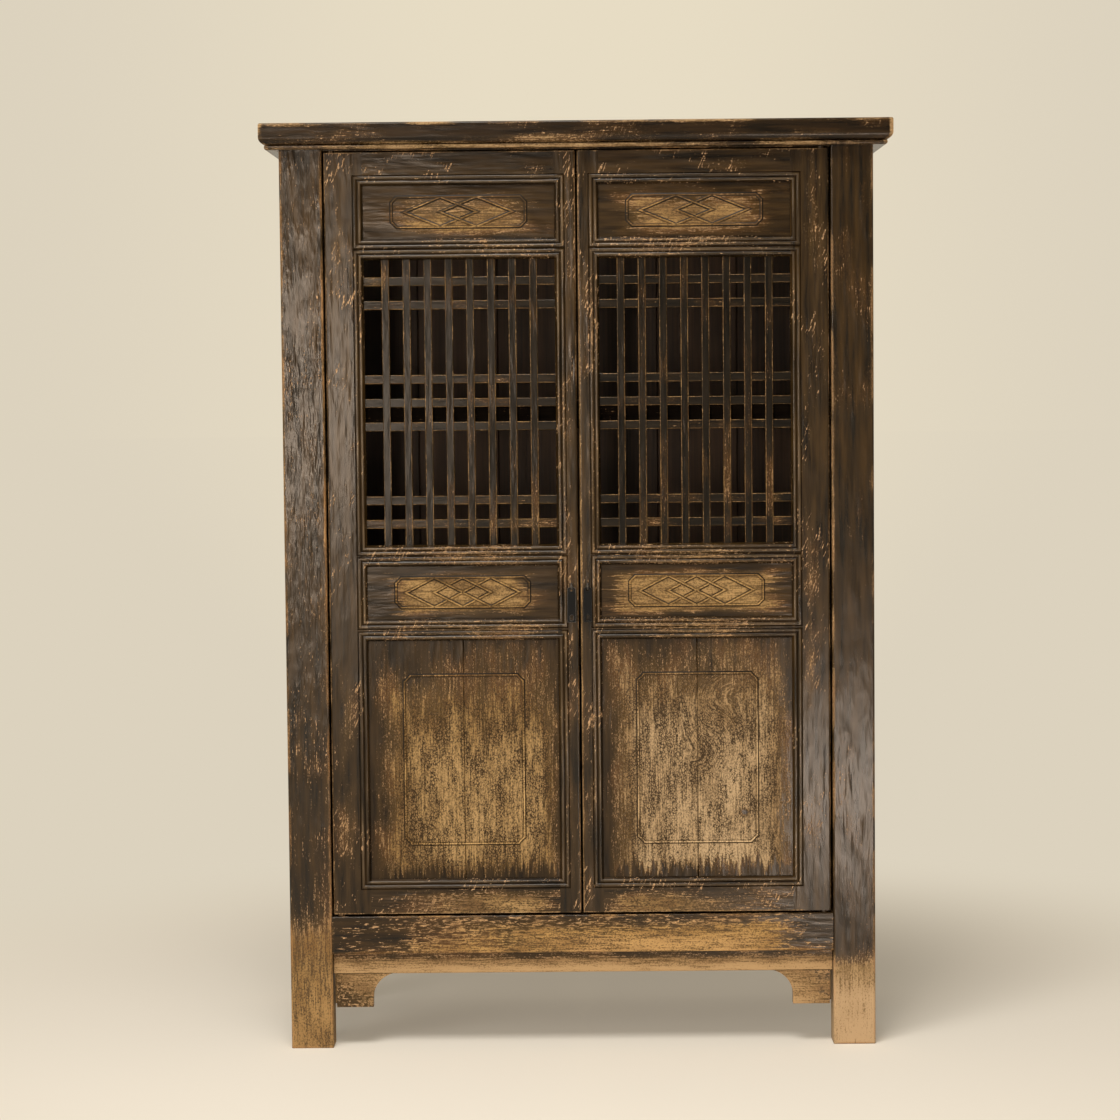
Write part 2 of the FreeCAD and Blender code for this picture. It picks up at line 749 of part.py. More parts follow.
def make_left_door():
    """Every piece of the left door, with joints cut into the frame."""
    rows = door_rows()
    panels = make_door_panels(rows)
    lattice = make_lattice(rows["lattice"])
    rails = {name: door_rail(rows[name])
             for name in ("top_rail", "upper_rail", "middle_rail", "lower_rail", "bottom_rail")}
    outer, inner = make_stiles()
    cotter = make_cotter()
    rings = {name: moulding_ring(opening_x, rows[name])
             for name in ("top_panel", "lattice", "middle_panel", "lower_panel")}
    filling = list(panels.values()) + lattice.Solids
    waste = [side for ring in rings.values() for side in ring]
    tenons = list(rails.values())
    pieces = {"stile_outer": cut_all(cut_all(outer, filling + tenons), waste),
              "stile_inner": cut_all(cut_all(inner, filling + tenons + [cotter]), waste)}
    above_and_below = {"top_rail": ("top_panel",), "upper_rail": ("top_panel", "lattice"),
                       "middle_rail": ("lattice", "middle_panel"),
                       "lower_rail": ("middle_panel", "lower_panel"), "bottom_rail": ("lower_panel",)}
    for name, rail in rails.items():
        near = [side for ring in above_and_below[name] for side in rings[ring]]
        pieces[name] = cut_all(cut_all(rail, filling), near)
    pieces.update(panels)
    pieces["lattice"] = lattice
    pieces["cotter"] = cotter
    pieces["pull"] = make_pull()
    return pieces


def make_carcase():
    """Every fixed piece, legs last because the others are let into them."""
    nodes = {}
    for maker in (make_head_rails, make_bottom_rails, make_waist_rails, make_shelf_rails, make_bearers,
                  make_aprons, make_side_panels, make_back_boards, make_shelves):
        nodes.update(maker())
    let_in = list(nodes.values())
    panels = [nodes["side_panels_left"], nodes["side_panels_right"], nodes["back_boards"], nodes["bottom_boards"]]
    for name in nodes:
        if "rail" in name and not name.startswith("shelf"):
            nodes[name] = cut_all(nodes[name], [tool for tool in panels
                                                if tool.BoundBox.intersect(nodes[name].BoundBox)])
    nodes.update(make_legs(let_in))
    nodes.update(make_spandrels())
    nodes.update(make_cap())
    return nodes


def main():
    nodes = make_carcase()
    for name, shape in make_left_door().items():
        nodes["left_door_" + name] = shape
        nodes["right_door_" + name] = mirrored(shape)
    os.makedirs("parts", exist_ok=True)
    for name, shape in nodes.items():
        shape.exportStep("parts/%s.step" % name)
    print(len(nodes), "nodes, pivots at x", pivot_x, "y", pivot_y, "eye at y", eye_y)


main()
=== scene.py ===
import json
import math

import bmesh
import bpy
from mathutils import Matrix, Vector

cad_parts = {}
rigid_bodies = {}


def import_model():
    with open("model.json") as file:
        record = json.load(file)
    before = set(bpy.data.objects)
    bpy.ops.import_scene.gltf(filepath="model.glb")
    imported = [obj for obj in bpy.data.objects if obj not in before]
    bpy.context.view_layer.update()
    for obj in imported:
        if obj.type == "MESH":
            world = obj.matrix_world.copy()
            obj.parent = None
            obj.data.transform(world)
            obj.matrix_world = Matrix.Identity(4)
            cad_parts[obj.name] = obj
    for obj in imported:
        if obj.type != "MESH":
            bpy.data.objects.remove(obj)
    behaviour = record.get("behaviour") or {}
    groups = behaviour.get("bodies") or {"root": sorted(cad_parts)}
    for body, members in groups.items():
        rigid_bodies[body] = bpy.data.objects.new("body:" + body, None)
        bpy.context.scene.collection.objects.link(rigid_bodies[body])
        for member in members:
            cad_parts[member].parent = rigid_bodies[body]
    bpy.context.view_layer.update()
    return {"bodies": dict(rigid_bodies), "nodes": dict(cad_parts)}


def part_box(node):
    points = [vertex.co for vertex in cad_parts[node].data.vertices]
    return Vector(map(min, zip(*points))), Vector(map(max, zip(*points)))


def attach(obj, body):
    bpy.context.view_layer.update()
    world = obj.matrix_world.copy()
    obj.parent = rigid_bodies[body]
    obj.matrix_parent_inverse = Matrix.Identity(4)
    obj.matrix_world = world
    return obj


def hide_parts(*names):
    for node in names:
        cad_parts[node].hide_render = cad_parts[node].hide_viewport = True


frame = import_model()

MM = 0.001

# The photograph's view: a long lens at three quarters of the cabinet's height, tipped down and held a
# little askew.
LENS = 96.43
EYE = Vector((-2.7, -6242.0, 1363.6)) * MM
TIPPED_DOWN = 3.586
TURNED_LEFT = 0.344
ROLLED_RIGHT = 0.544

# Sizes of the carved work, in millimetres.
LINE_WIDTH = 7.6
LINE_HEIGHT = 1.6
LOZENGE_HALF_HEIGHT = 29.5
SMALL_FRAME = (268.0, 60.0, 11.0)
LARGE_FRAME = (240.0, 342.0, 12.0)
MOULDING_WIDTH = 21.0
# How high the door moulding stands, 0 to 1, at each distance from its opening in millimetres.
MOULDING_HEIGHTS = [(0, 0.5), (3.0, 0.44), (6.2, 0.86), (8.6, 0.46), (10.9, 0.3), (13.0, 0.46),
                    (15.6, 0.8), (18.2, 0.46), (19.8, 0.34), (21.0, 0.5)]


def colour(code):
    """Linear colour of an sRGB hex value."""
    parts = [int(code[i:i + 2], 16) / 255 for i in (1, 3, 5)]
    return [c / 12.92 if c <= 0.04045 else ((c + 0.055) / 1.055) ** 2.4 for c in parts] + [1.0]


def put(tree, kind, inputs=(), **settings):
    """Add a node with its settings, fill or link its inputs by name or in order, and give its first
    output."""
    node = tree.nodes.new(kind)
    for name, value in settings.items():
        setattr(node, name, value)
    usable = [socket for socket in node.inputs if socket.enabled]
    for key, value in inputs.items() if isinstance(inputs, dict) else enumerate(inputs):
        socket = usable[key] if isinstance(key, int) else next(s for s in usable if s.name == key)
        if isinstance(value, bpy.types.NodeSocket):
            tree.links.new(value, socket)
        else:
            socket.default_value = value
    return next((socket for socket in node.outputs if socket.enabled), node)


# Where the finish is worn, seen from the front: the middle of each place across and up and its half
# width and half height in millimetres, and how far it is worn. Less than nothing keeps the finish, or
# darkens the wood, as a knot does. Places that overlap are worn no further than WORN_AT_MOST.
WORN_AT_MOST = 1.12
WORN_ON_UPRIGHTS = [
    (-470, 660, 32, 190, 0.5), (-474, 450, 30, 130, 0.46), (-474, 1620, 28, 140, 0.36),
    (-22, 1180, 24, 640, 0.3), (-22, 520, 26, 330, 0.28), (24, 1100, 24, 700, 0.34),
    (22, 480, 24, 260, 0.3), (470, 1620, 26, 150, 0.42), (466, 950, 24, 90, 0.42),
    (464, 770, 24, 130, 0.42), (468, 480, 30, 180, 0.36), (-553, 560, 34, 300, 0.16),
    (548, 560, 36, 300, 0.1), (3, 1020, 5, 1100, 0.9), (-592, 1300, 6, 640, 0.9),
    (-508, 1250, 5, 520, 0.75), (-592, 640, 5, 260, 0.6), (508, 1000, 5, 700, 0.5),
]
WORN_ON_RAILS = [
    (-340, 204, 170, 24, 0.35), (330, 216, 130, 40, 0.3), (-420, 245, 90, 22, 0.3),
    (-148, 296, 100, 30, 0.35), (150, 298, 90, 28, 0.35), (-60, 1770, 70, 24, 0.3), (330, 1772, 90, 24, 0.3),
    (-190, 1611, 240, 60, 0.4), (225, 1611, 220, 60, 0.35), (-190, 997, 240, 60, 0.5),
    (235, 997, 230, 60, 0.6), (-200, 848, 240, 60, 0.6), (235, 848, 240, 60, 0.6),
]
WORN_ON_CAP = [
    (-330, 1813, 210, 13, 1.6), (0, 1812, 330, 10, 1.2), (420, 1812, 120, 12, 1.2), (-60, 1826, 120, 12, 0.6),
    (-290, 1859, 70, 7, 1.1), (240, 1858, 200, 5, 0.6),
    (-450, 1838, 170, 24, 0.2), (470, 1830, 90, 12, 0.2), (-560, 1856, 90, 6, 0.6),
]
WORN_ON_SPANDRELS = [
    (-400, 118, 90, 60, 0.55), (-430, 145, 120, 20, 0.5), (440, 112, 90, 60, 0.5), (440, 88, 80, 16, 0.8),
    (-395, 130, 40, 40, 0.5), (400, 130, 60, 40, 0.4),
]
WORN_ON_SMALL_PANELS = [
    (-230, 1655, 160, 34, 0.25), (235, 1668, 160, 36, 0.2), (-150, 915, 110, 46, 0.2),
    (120, 912, 80, 46, 0.2),
]
WORN_ON_LARGE_PANELS = [
    (-160, 800, 80, 40, 0.34), (300, 800, 90, 44, 0.34), (-225, 470, 120, 120, 0.2),
    (250, 480, 140, 130, 0.25), (240, 390, 190, 60, 0.3), (329, 473, 14, 10, -1.8), (270, 650, 60, 80, -0.16),
]
# Where the grain turns round a grown-over branch: its middle and half size across and up, and how
# far it is turned there, in radians.
SWIRL = (267, 652, 72, 100, 1.5)
# The wiped fields: left, right, low and high limits, how wide the wear takes to rise from each of
# them, and how far the finish is worn inside.
WIPED_ON_SMALL_PANELS = [
    (-385, -78, 1634, 1730, 75, 65, 22, 36, 0.62), (58, 392, 1634, 1730, 75, 75, 22, 36, 0.57),
    (-384, -86, 873, 968, 58, 58, 24, 28, 1.12), (56, 420, 872, 969, 64, 70, 22, 26, 1.16),
]
WIPED_ON_RAILS = [
    (-400, 470, 186, 274, 520, 220, 5, 66, 1.42), (-400, -44, 268, 326, 270, 70, 8, 34, 1.2),
    (40, 450, 268, 326, 50, 200, 8, 34, 0.74),
]
WIPED_ON_LARGE_PANELS = [
    (-422, -36, 350, 804, 92, 48, 34, 192, 1.22), (48, 434, 360, 836, 70, 60, 14, 190, 1.22),
]
WORN_ON_LATTICE = [
    (-400, 1545, 40, 45, 0.45), (-90, 1080, 110, 90, 0.32), (-230, 1060, 220, 40, 0.2),
    (395, 1130, 24, 110, 0.42), (300, 1180, 24, 160, 0.25), (150, 1060, 60, 60, 0.25),
    (-180, 1300, 60, 140, 0.15),
]
# A door's outline, the same on both sides of the middle: middle and half size across and up.
DOOR_OUTLINE = (252.35, 250.15, 1038.25, 764.75)
DOOR_RAILS = ["top_rail", "upper_rail", "middle_rail", "lower_rail", "bottom_rail"]


def squeezed(along, across_mm, length_mm):
    """Factors that make a noise of size one that wide across the grain and that long on it."""
    factors = [1 / across_mm] * 3
    factors["XYZ".index(along)] = 1 / length_mm
    return factors


def worn_places(tree, place, places, face_y):
    """How far each point is worn: soft ovals on the plane of one face, 24 mm deep, added up."""
    total = 0.0
    for x, z, half_x, half_z, amount in places:
        near = put(tree, "ShaderNodeMapping", {
            "Vector": place, "Location": (x, face_y, z), "Scale": (half_x, 24.0, half_z)},
            vector_type="TEXTURE")
        oval = put(tree, "ShaderNodeTexGradient", [near], gradient_type="SPHERICAL").node.outputs["Fac"]
        total = put(tree, "ShaderNodeMath", [oval, amount, total], operation="MULTIPLY_ADD")
    return total


def wiped_fields(tree, place, fields, along, comb, face_y):
    """How far the front face is worn: each field rises from its four limits at its own pace, and its
    ends run out along the grain in strokes as wide and as long as comb says."""
    combed = put(tree, "ShaderNodeVectorMath", [place, squeezed(along, *comb)], operation="MULTIPLY")
    combed = put(tree, "ShaderNodeTexNoise", [combed, 1.0, 2.0, 0.5]).node.outputs["Color"]
    combed = put(tree, "ShaderNodeVectorMath", [combed, (0.5, 0.5, 0.5)], operation="SUBTRACT")
    reach = (120.0, 0.0, 12.0) if along == "X" else (16.0, 0.0, 110.0)
    stray = put(tree, "ShaderNodeVectorMath", [combed, reach, place], operation="MULTIPLY_ADD")
    split = put(tree, "ShaderNodeSeparateXYZ", [stray]).node.outputs
    total = 0.0
    for left, right, low, high, from_left, from_right, from_low, from_high, amount in fields:
        inside = 1.0
        for axis, limit, full in (("X", left, left + from_left), ("X", right, right - from_right),
                                  ("Z", low, low + from_low), ("Z", high, high - from_high)):
            rise = put(tree, "ShaderNodeMapRange", [split[axis], limit, full, 0.0, 1.0])
            inside = put(tree, "ShaderNodeMath", [rise, inside], operation="MINIMUM")
        total = put(tree, "ShaderNodeMath", [inside, amount, total], operation="MULTIPLY_ADD")
    in_front = put(tree, "ShaderNodeMapRange", [split["Y"], face_y + 3.0, face_y + 6.0, 1.0, 0.0])
    return put(tree, "ShaderNodeMath", [total, in_front], operation="MULTIPLY")


def new_finish(name):
    """An empty material, its node tree, and where each point lies in millimetres."""
    material = bpy.data.materials.new(name)
    material.use_nodes = True
    tree = material.node_tree
    tree.nodes.clear()
    coords = put(tree, "ShaderNodeTexCoord").node.outputs["Object"]
    place = put(tree, "ShaderNodeVectorMath", {0: coords, "Scale": 1 / MM}, operation="SCALE")
    return material, tree, place


def worn_lacquer(name, along, places=(), face_y=-236.0, wear=0.0, edge=0.8, foot=None, beads=False,
                 fields=(), comb=(3.4, 70.0), carved=None, arris=0.0, scratches=0.0,
                 film=("#140e06", "#382812"), umber=("#544022", "#5c4124"),
                 wood=("#38280f", "#6c5231", "#94764a", "#ad8f60"), grain=1.0, crackle=0.0,
                 fleck=(2.2, 6.0), fleck_amount=0.4, streak_amount=0.26, ripple=(11.0, 60.0, 0.5),
                 gloss=0.25, mirror=0.26, rim="#9f7045", pore=(0.17, 0.3), swirl=None):
    """Dark lacquer brushed thin over softwood and rubbed through by use: the film is smooth and half
    glossy, goes brown where it is thin, and the bared wood is dry, straw to golden, with dark pores."""
    material, tree, place = new_finish(name)
    bent = place
    if swirl:
        bent = put(tree, "ShaderNodeVectorRotate", {
            "Vector": place, "Center": (swirl[0], face_y, swirl[1]), "Axis": (0.0, 1.0, 0.0),
            "Angle": worn_places(tree, place, [swirl], face_y)})
    # Each noise: where it is read, how wide and how long on the grain its spots are in millimetres,
    # and its detail, roughness and distortion.
    across, length, depth = ripple
    noises = []
    for at, size, detail, roughness, distortion in (
            (bent, (2.4, 44.0), 3.0, 0.62, 0.0),  # grain lines, coarser than the real ones
            (bent, fleck, 3.0, 0.66, 0.7),  # chips in the film
            (place, (2.6, 3.8), 2.0, 0.6, 0.0),  # pits of the bared wood
            (place, (42.0, 100.0), 2.0, 0.5, 0.0),  # clouds of more and less wear
            (place, (13.0, 160.0), 3.0, 0.6, 0.0),  # brush marks of the film
            (place, (22.0, 60.0), 3.0, 0.6, 0.0),  # blotches of the bared wood
            (place, (across, length), 2.0, 0.5, 0.0)):  # waves that the plane has left
        at = put(tree, "ShaderNodeVectorMath", [at, squeezed(along, *size)], operation="MULTIPLY")
        noises.append(put(tree, "ShaderNodeTexNoise", {
            "Vector": at, "Scale": 1.0, "Detail": detail, "Roughness": roughness,
            "Distortion": distortion}))
    streak, flecks, pitted, cloud, tone, blotch, planed = noises

    # All that wears the finish is added up.
    added = [wear, put(tree, "ShaderNodeMapRange", [cloud, 0.3, 0.7, -0.2, 0.2])]
    if fields:
        added.append(wiped_fields(tree, place, fields, along, comb, face_y))
    rubbed = 0.0
    if edge:
        convex = put(tree, "ShaderNodeAmbientOcclusion", {"Distance": 6.0 * MM}, inside=True,
                     only_local=True, samples=4).node.outputs["AO"]
        rubbed = put(tree, "ShaderNodeMath", [
            put(tree, "ShaderNodeMapRange", [convex, 0.95, 0.6, 0.0, edge]),
            put(tree, "ShaderNodeMapRange", [cloud, 0.4, 0.56, 0.1, 1.0])], operation="MULTIPLY")
    if arris:
        rounded = put(tree, "ShaderNodeAttribute", attribute_name="on_arris").node.outputs["Fac"]
        added.append(put(tree, "ShaderNodeMath", [rounded, arris], operation="MULTIPLY"))
    if foot:
        height = put(tree, "ShaderNodeSeparateXYZ", [place]).node.outputs["Z"]
        added.append(put(tree, "ShaderNodeMapRange", [height, foot[1], foot[0], 0.0, foot[2]],
                         interpolation_type="SMOOTHSTEP"))
    if beads:
        away = put(tree, "ShaderNodeAttribute", attribute_name="from_opening").node.outputs["Fac"]
        crest = put(tree, "ShaderNodeFloatCurve", {"Value": away})
        draw_curve(crest.node, MOULDING_HEIGHTS)
        added.append(put(tree, "ShaderNodeMapRange", [crest, 0.0, 1.0, -0.3, 0.16]))
        rubbed = put(tree, "ShaderNodeMath", [
            door_rim(tree, place), put(tree, "ShaderNodeMapRange", [cloud, 0.36, 0.54, 0.4, 1.0])],
            operation="MULTIPLY")
    if carved:
        # Along a carved line the film is kept in the flanks and worn off the crest; the same factor later
        # paints shade on the flanks, darkest on the shaded side, and a highlight on the crest.
        line = put(tree, "ShaderNodeAttribute", attribute_name="on_carving").node.outputs["Fac"]
        carving_wear_and_shade = put(tree, "ShaderNodeMapRange", [line, 0.5, 1.0, *carved])
        plain = put(tree, "ShaderNodeMath", [line, 0.02], operation="LESS_THAN")
        carving_wear_and_shade = put(tree, "ShaderNodeMix", [plain, carving_wear_and_shade, 1.0], data_type="FLOAT")
        added.append(put(tree, "ShaderNodeMath", [carving_wear_and_shade, 0.7, -0.7], operation="MULTIPLY_ADD"))
    total = put(tree, "ShaderNodeMath", [worn_places(tree, place, places, face_y), WORN_AT_MOST],
                operation="MINIMUM")
    for amount in [*added, rubbed]:
        total = put(tree, "ShaderNodeMath", [total, amount], operation="ADD")

    # Chips are crisp where the film still holds, and few where it is all but gone.
    chipped = put(tree, "ShaderNodeMapRange", [total, 0.5, 1.15, fleck_amount, fleck_amount * 0.4])
    fine = total
    for noise, amount in ((flecks, chipped), (streak, streak_amount)):
        fine = put(tree, "ShaderNodeMath", [
            put(tree, "ShaderNodeMapRange", [noise, 0.3, 0.7, -1.0, 1.0]), amount, fine],
            operation="MULTIPLY_ADD")
    if scratches:
        # Slanting strokes of the scraper, 4 mm wide and 24 mm long, bent a little.
        strokes = put(tree, "ShaderNodeMapping", {"Vector": place, "Rotation": (0.0, 0.4, 0.0)},
                      vector_type="TEXTURE")
        strokes = put(tree, "ShaderNodeVectorMath", [strokes, squeezed("Z", 4.0, 24.0)],
                      operation="MULTIPLY")
        strokes = put(tree, "ShaderNodeTexNoise", {
            "Vector": strokes, "Scale": 1.0, "Detail": 1.0, "Distortion": 0.6})
        strokes = put(tree, "ShaderNodeMath", [
            put(tree, "ShaderNodeMapRange", [strokes, 0.6, 0.67, 0.0, scratches]),
            put(tree, "ShaderNodeMapRange", [cloud, 0.45, 0.6, 0.0, 1.0])], operation="MULTIPLY")
        fine = put(tree, "ShaderNodeMath", [fine, strokes], operation="ADD")
    bared = put(tree, "ShaderNodeMapRange", [fine, 0.48, 0.72, 0.0, 1.0], interpolation_type="SMOOTHSTEP")
    thinned = put(tree, "ShaderNodeMix", [0.35, total, fine], data_type="FLOAT")
    thinned = put(tree, "ShaderNodeMapRange", [thinned, 0.0, 0.75, 0.0, 1.0],
                  interpolation_type="SMOOTHSTEP")

    undercoat = put(tree, "ShaderNodeMix", {
        "Factor": put(tree, "ShaderNodeMapRange", [cloud, 0.45, 0.62, 0.0, 1.0]), "A": colour(umber[0]),
        "B": colour(umber[1])}, data_type="RGBA")
    coats = [(put(tree, "ShaderNodeMapRange", [tone, 0.33, 0.67, 0.0, 1.0]), colour(film[1])),
             (thinned, undercoat)]
    if beads:
        # The moulding's crests get a greyish-pale painted highlight here and there; its grooves get painted
        # shade.
        crest_highlight = put(tree, "ShaderNodeMapRange", [crest, 0.46, 0.9, 0.0, 0.62])
        for noise, ends in ((tone, (0.38, 0.62, 0.0, 1.0)), (cloud, (0.36, 0.6, 0.35, 1.2))):
            crest_highlight = put(tree, "ShaderNodeMath", [
                crest_highlight, put(tree, "ShaderNodeMapRange", [noise, *ends])], operation="MULTIPLY")
        coats += [(crest_highlight, colour("#6f604b")),
                  (put(tree, "ShaderNodeMapRange", [crest, 0.46, 0.3, 0.0, 0.2]), colour("#150e06"))]
    lacquer = colour(film[0])
    for share, coat in coats:
        lacquer = put(tree, "ShaderNodeMix", {"Factor": share, "A": lacquer, "B": coat}, data_type="RGBA")
    # The wood is blotched and goes pale where it is rubbed most. A lone chip shows it fresh, paler and pinker
    # than a place that hands have soiled, and its paleness is also a painted highlight where the chip's
    # broken edge catches light; the rubbed arrises have a colour of their own.
    body = colour(wood[1])
    for share, tint in (
            (put(tree, "ShaderNodeMapRange", [blotch, 0.38, 0.62, 0.0, 1.0]), wood[2]),
            (put(tree, "ShaderNodeMapRange", [total, 0.8, 1.7, 0.0, 1.0]), wood[3]),
            (put(tree, "ShaderNodeMapRange", [total, 0.1, 0.65, 0.9, 0.0]), "#c8a27a"),
            (put(tree, "ShaderNodeMath", [rubbed, 0.6], operation="MULTIPLY", use_clamp=True), rim)):
        body = put(tree, "ShaderNodeMix", {"Factor": share, "A": body, "B": colour(tint)},
                   data_type="RGBA")
    pores = put(tree, "ShaderNodeMath", [
        streak, pitted, put(tree, "ShaderNodeMapRange", [total, 1.15, 1.7, 0.0, 0.09])],
        operation="MULTIPLY_ADD")
    if crackle:
        # What is left of an old ground coat has crazed into scales 4 mm by 5.5.
        scales = put(tree, "ShaderNodeVectorMath", [place, squeezed(along, 4.0, 5.5)],
                     operation="MULTIPLY")
        scales = put(tree, "ShaderNodeTexVoronoi", {"Vector": scales, "Scale": 1.0, "Randomness": 1.0},
                     feature="DISTANCE_TO_EDGE")
        scales = put(tree, "ShaderNodeMath", [
            put(tree, "ShaderNodeMapRange", [scales, 0.02, 0.2, -crackle, 0.03]),
            put(tree, "ShaderNodeMapRange", [blotch, 0.42, 0.58, 1.0, 0.15])], operation="MULTIPLY")
        pores = put(tree, "ShaderNodeMath", [pores, scales], operation="ADD")
    bare_wood = put(tree, "ShaderNodeMix", {
        "Factor": put(tree, "ShaderNodeMapRange", [pores, *pore, 1.0 - grain, 1.0]),
        "A": colour(wood[0]), "B": body}, data_type="RGBA")
    mixed = put(tree, "ShaderNodeMix", {"Factor": bared, "A": lacquer, "B": bare_wood}, data_type="RGBA")
    # Painted shade: ambient occlusion darkens the colour in hollows and where parts meet.
    hollow = put(tree, "ShaderNodeAmbientOcclusion", {"Distance": 4.5 * MM}, samples=4).node.outputs["AO"]
    hollow_shade = put(tree, "ShaderNodeMapRange", [hollow, 0.35, 0.9, 0.6 if beads else 0.35, 1.0])
    # On carved lines the colour is multiplied as well: painted shade on the flanks, deepest on the shaded
    # side, and a painted highlight on the crest.
    if carved:
        hollow_shade = put(tree, "ShaderNodeMath", [hollow_shade, carving_wear_and_shade], operation="MULTIPLY")
    mixed = put(tree, "ShaderNodeMix", {"Factor": 1.0, "A": mixed, "B": hollow_shade}, data_type="RGBA",
                blend_type="MULTIPLY")

    planed = put(tree, "ShaderNodeMath", [
        planed, put(tree, "ShaderNodeMapRange", [cloud, 0.35, 0.6, 0.3, 1.2])], operation="MULTIPLY")
    bump = put(tree, "ShaderNodeBump", {"Strength": 1.0, "Distance": depth * 2 * MM, "Height": planed})
    # The bared wood lies lower than the film and shows its grain; the film fills it.
    open_grain = put(tree, "ShaderNodeMath", [pitted, 2.4 if crackle else 0.5, streak],
                     operation="MULTIPLY_ADD")
    open_grain = put(tree, "ShaderNodeMath", [open_grain, bared], operation="MULTIPLY")
    relief = put(tree, "ShaderNodeMath", [bared, -0.7, open_grain], operation="MULTIPLY_ADD")
    bump = put(tree, "ShaderNodeBump", {
        "Strength": 1.0, "Distance": 0.22 * MM, "Height": relief, "Normal": bump})
    dull = put(tree, "ShaderNodeMapRange", [bared, 0.0, 1.0, gloss, 0.68])
    if carved:
        dull = put(tree, "ShaderNodeMath", [line, 0.5, dull], operation="MULTIPLY_ADD", use_clamp=True)
    shader = put(tree, "ShaderNodeBsdfPrincipled", {
        "Base Color": mixed, "Roughness": dull, "Specular IOR Level": mirror, "Normal": bump})
    put(tree, "ShaderNodeOutputMaterial", {"Surface": shader})
    return material


def door_rim(tree, place):
    """Wear of the doors' outer arrises: strongest on the outline, gone three millimetres in and back."""
    middle_x, half_x, middle_z, half_z = DOOR_OUTLINE
    split = put(tree, "ShaderNodeSeparateXYZ", [place]).node.outputs
    sideways = put(tree, "ShaderNodeMath", [split["X"]], operation="ABSOLUTE")
    outward = []
    for at, middle, half in ((sideways, middle_x, half_x), (split["Z"], middle_z, half_z)):
        away = put(tree, "ShaderNodeMath", [at, middle], operation="SUBTRACT")
        away = put(tree, "ShaderNodeMath", [away], operation="ABSOLUTE")
        outward.append(put(tree, "ShaderNodeMath", [away, half], operation="SUBTRACT"))
    outward = put(tree, "ShaderNodeMath", outward, operation="MAXIMUM")
    return put(tree, "ShaderNodeMath", [
        put(tree, "ShaderNodeMapRange", [outward, -2.8, -0.6, 0.0, 0.75]),
        put(tree, "ShaderNodeMapRange", [split["Y"], -232.0, -229.0, 1.0, 0.0])], operation="MULTIPLY")


def draw_curve(node, points):
    """Set a float curve over the width of the moulding from points in millimetres."""
    curve = node.mapping.curves[0]
    while len(curve.points) > 2:
        curve.points.remove(curve.points[1])
    for i, (at, value) in enumerate(points):
        position = (at / MOULDING_WIDTH, value)
        if i == 0:
            curve.points[0].location = position
        elif i == len(points) - 1:
            curve.points[-1].location = position
        else:
            curve.points.new(*position)
    node.mapping.update()


def aged_wood(name, along, light, dark):
    """Unpainted softwood browned by age: dull, with long dark grain lines, cloudy stains, a tone of its
    own on each board, and painted shade in its joints and corners."""
    material, tree, place = new_finish(name)
    # Growth rings are 5 mm apart and waver over a span.
    lines = put(tree, "ShaderNodeVectorMath", [place, squeezed(along, 5.0, 220.0)], operation="MULTIPLY")
    lines = put(tree, "ShaderNodeTexNoise", {
        "Vector": lines, "Scale": 1.0, "Detail": 4.0, "Roughness": 0.6, "Distortion": 0.3})
    cloud = put(tree, "ShaderNodeVectorMath", [place, squeezed(along, 60.0, 190.0)], operation="MULTIPLY")
    cloud = put(tree, "ShaderNodeTexNoise", [cloud, 1.0, 2.0])
    tone = put(tree, "ShaderNodeMath", [lines, cloud], operation="MULTIPLY")
    own = put(tree, "ShaderNodeAttribute", attribute_name="board_tone").node.outputs["Fac"]
    tone = put(tree, "ShaderNodeMath", [own, 0.16, tone], operation="MULTIPLY_ADD")
    mixed = put(tree, "ShaderNodeMix", {
        "Factor": put(tree, "ShaderNodeMapRange", [tone, 0.14, 0.5, 0.0, 1.0]), "A": colour(dark),
        "B": colour(light)}, data_type="RGBA")
    # Painted shade: ambient occlusion darkens the colour in joints and corners.
    hollow = put(tree, "ShaderNodeAmbientOcclusion", {"Distance": 6.0 * MM}, samples=4).node.outputs["AO"]
    mixed = put(tree, "ShaderNodeMix", {
        "Factor": 1.0, "A": mixed, "B": put(tree, "ShaderNodeMapRange", [hollow, 0.4, 0.9, 0.25, 1.0])},
        data_type="RGBA", blend_type="MULTIPLY")
    bump = put(tree, "ShaderNodeBump", {"Strength": 0.7, "Distance": 0.4 * MM, "Height": lines})
    shader = put(tree, "ShaderNodeBsdfPrincipled", {"Base Color": mixed, "Roughness": 0.6, "Normal": bump})
    put(tree, "ShaderNodeOutputMaterial", {"Surface": shader})
    return material


def forged_iron(name, black, brown):
    """Wrought iron blackened at the forge: dark metal with hammer dimples, brown where rust starts,
    and bright on its rubbed edges."""
    material, tree, place = new_finish(name)
    # Hammer dimples are about 5 mm across, rust spots 2 mm.
    dimples = put(tree, "ShaderNodeTexNoise", [place, 0.2, 2.0])
    rust = put(tree, "ShaderNodeTexNoise", [place, 0.5, 4.0, 0.7])
    convex = put(tree, "ShaderNodeAmbientOcclusion", {"Distance": 1.2 * MM}, inside=True, only_local=True,
                 samples=6).node.outputs["AO"]
    mixed = colour(black)
    for share, tint in (
            (put(tree, "ShaderNodeMapRange", [rust, 0.5, 0.68, 0.0, 1.0]), brown),
            (put(tree, "ShaderNodeMapRange", [convex, 0.75, 0.45, 0.0, 0.8]), "#96918b")):
        mixed = put(tree, "ShaderNodeMix", {"Factor": share, "A": mixed, "B": colour(tint)},
                    data_type="RGBA")
    bump = put(tree, "ShaderNodeBump", {"Strength": 0.8, "Distance": 0.5 * MM, "Height": dimples})
    shader = put(tree, "ShaderNodeBsdfPrincipled", {
        "Base Color": mixed, "Metallic": 0.85, "Normal": bump,
        "Roughness": put(tree, "ShaderNodeMapRange", [rust, 0.3, 0.7, 0.3, 0.55])})
    put(tree, "ShaderNodeOutputMaterial", {"Surface": shader})
    return material


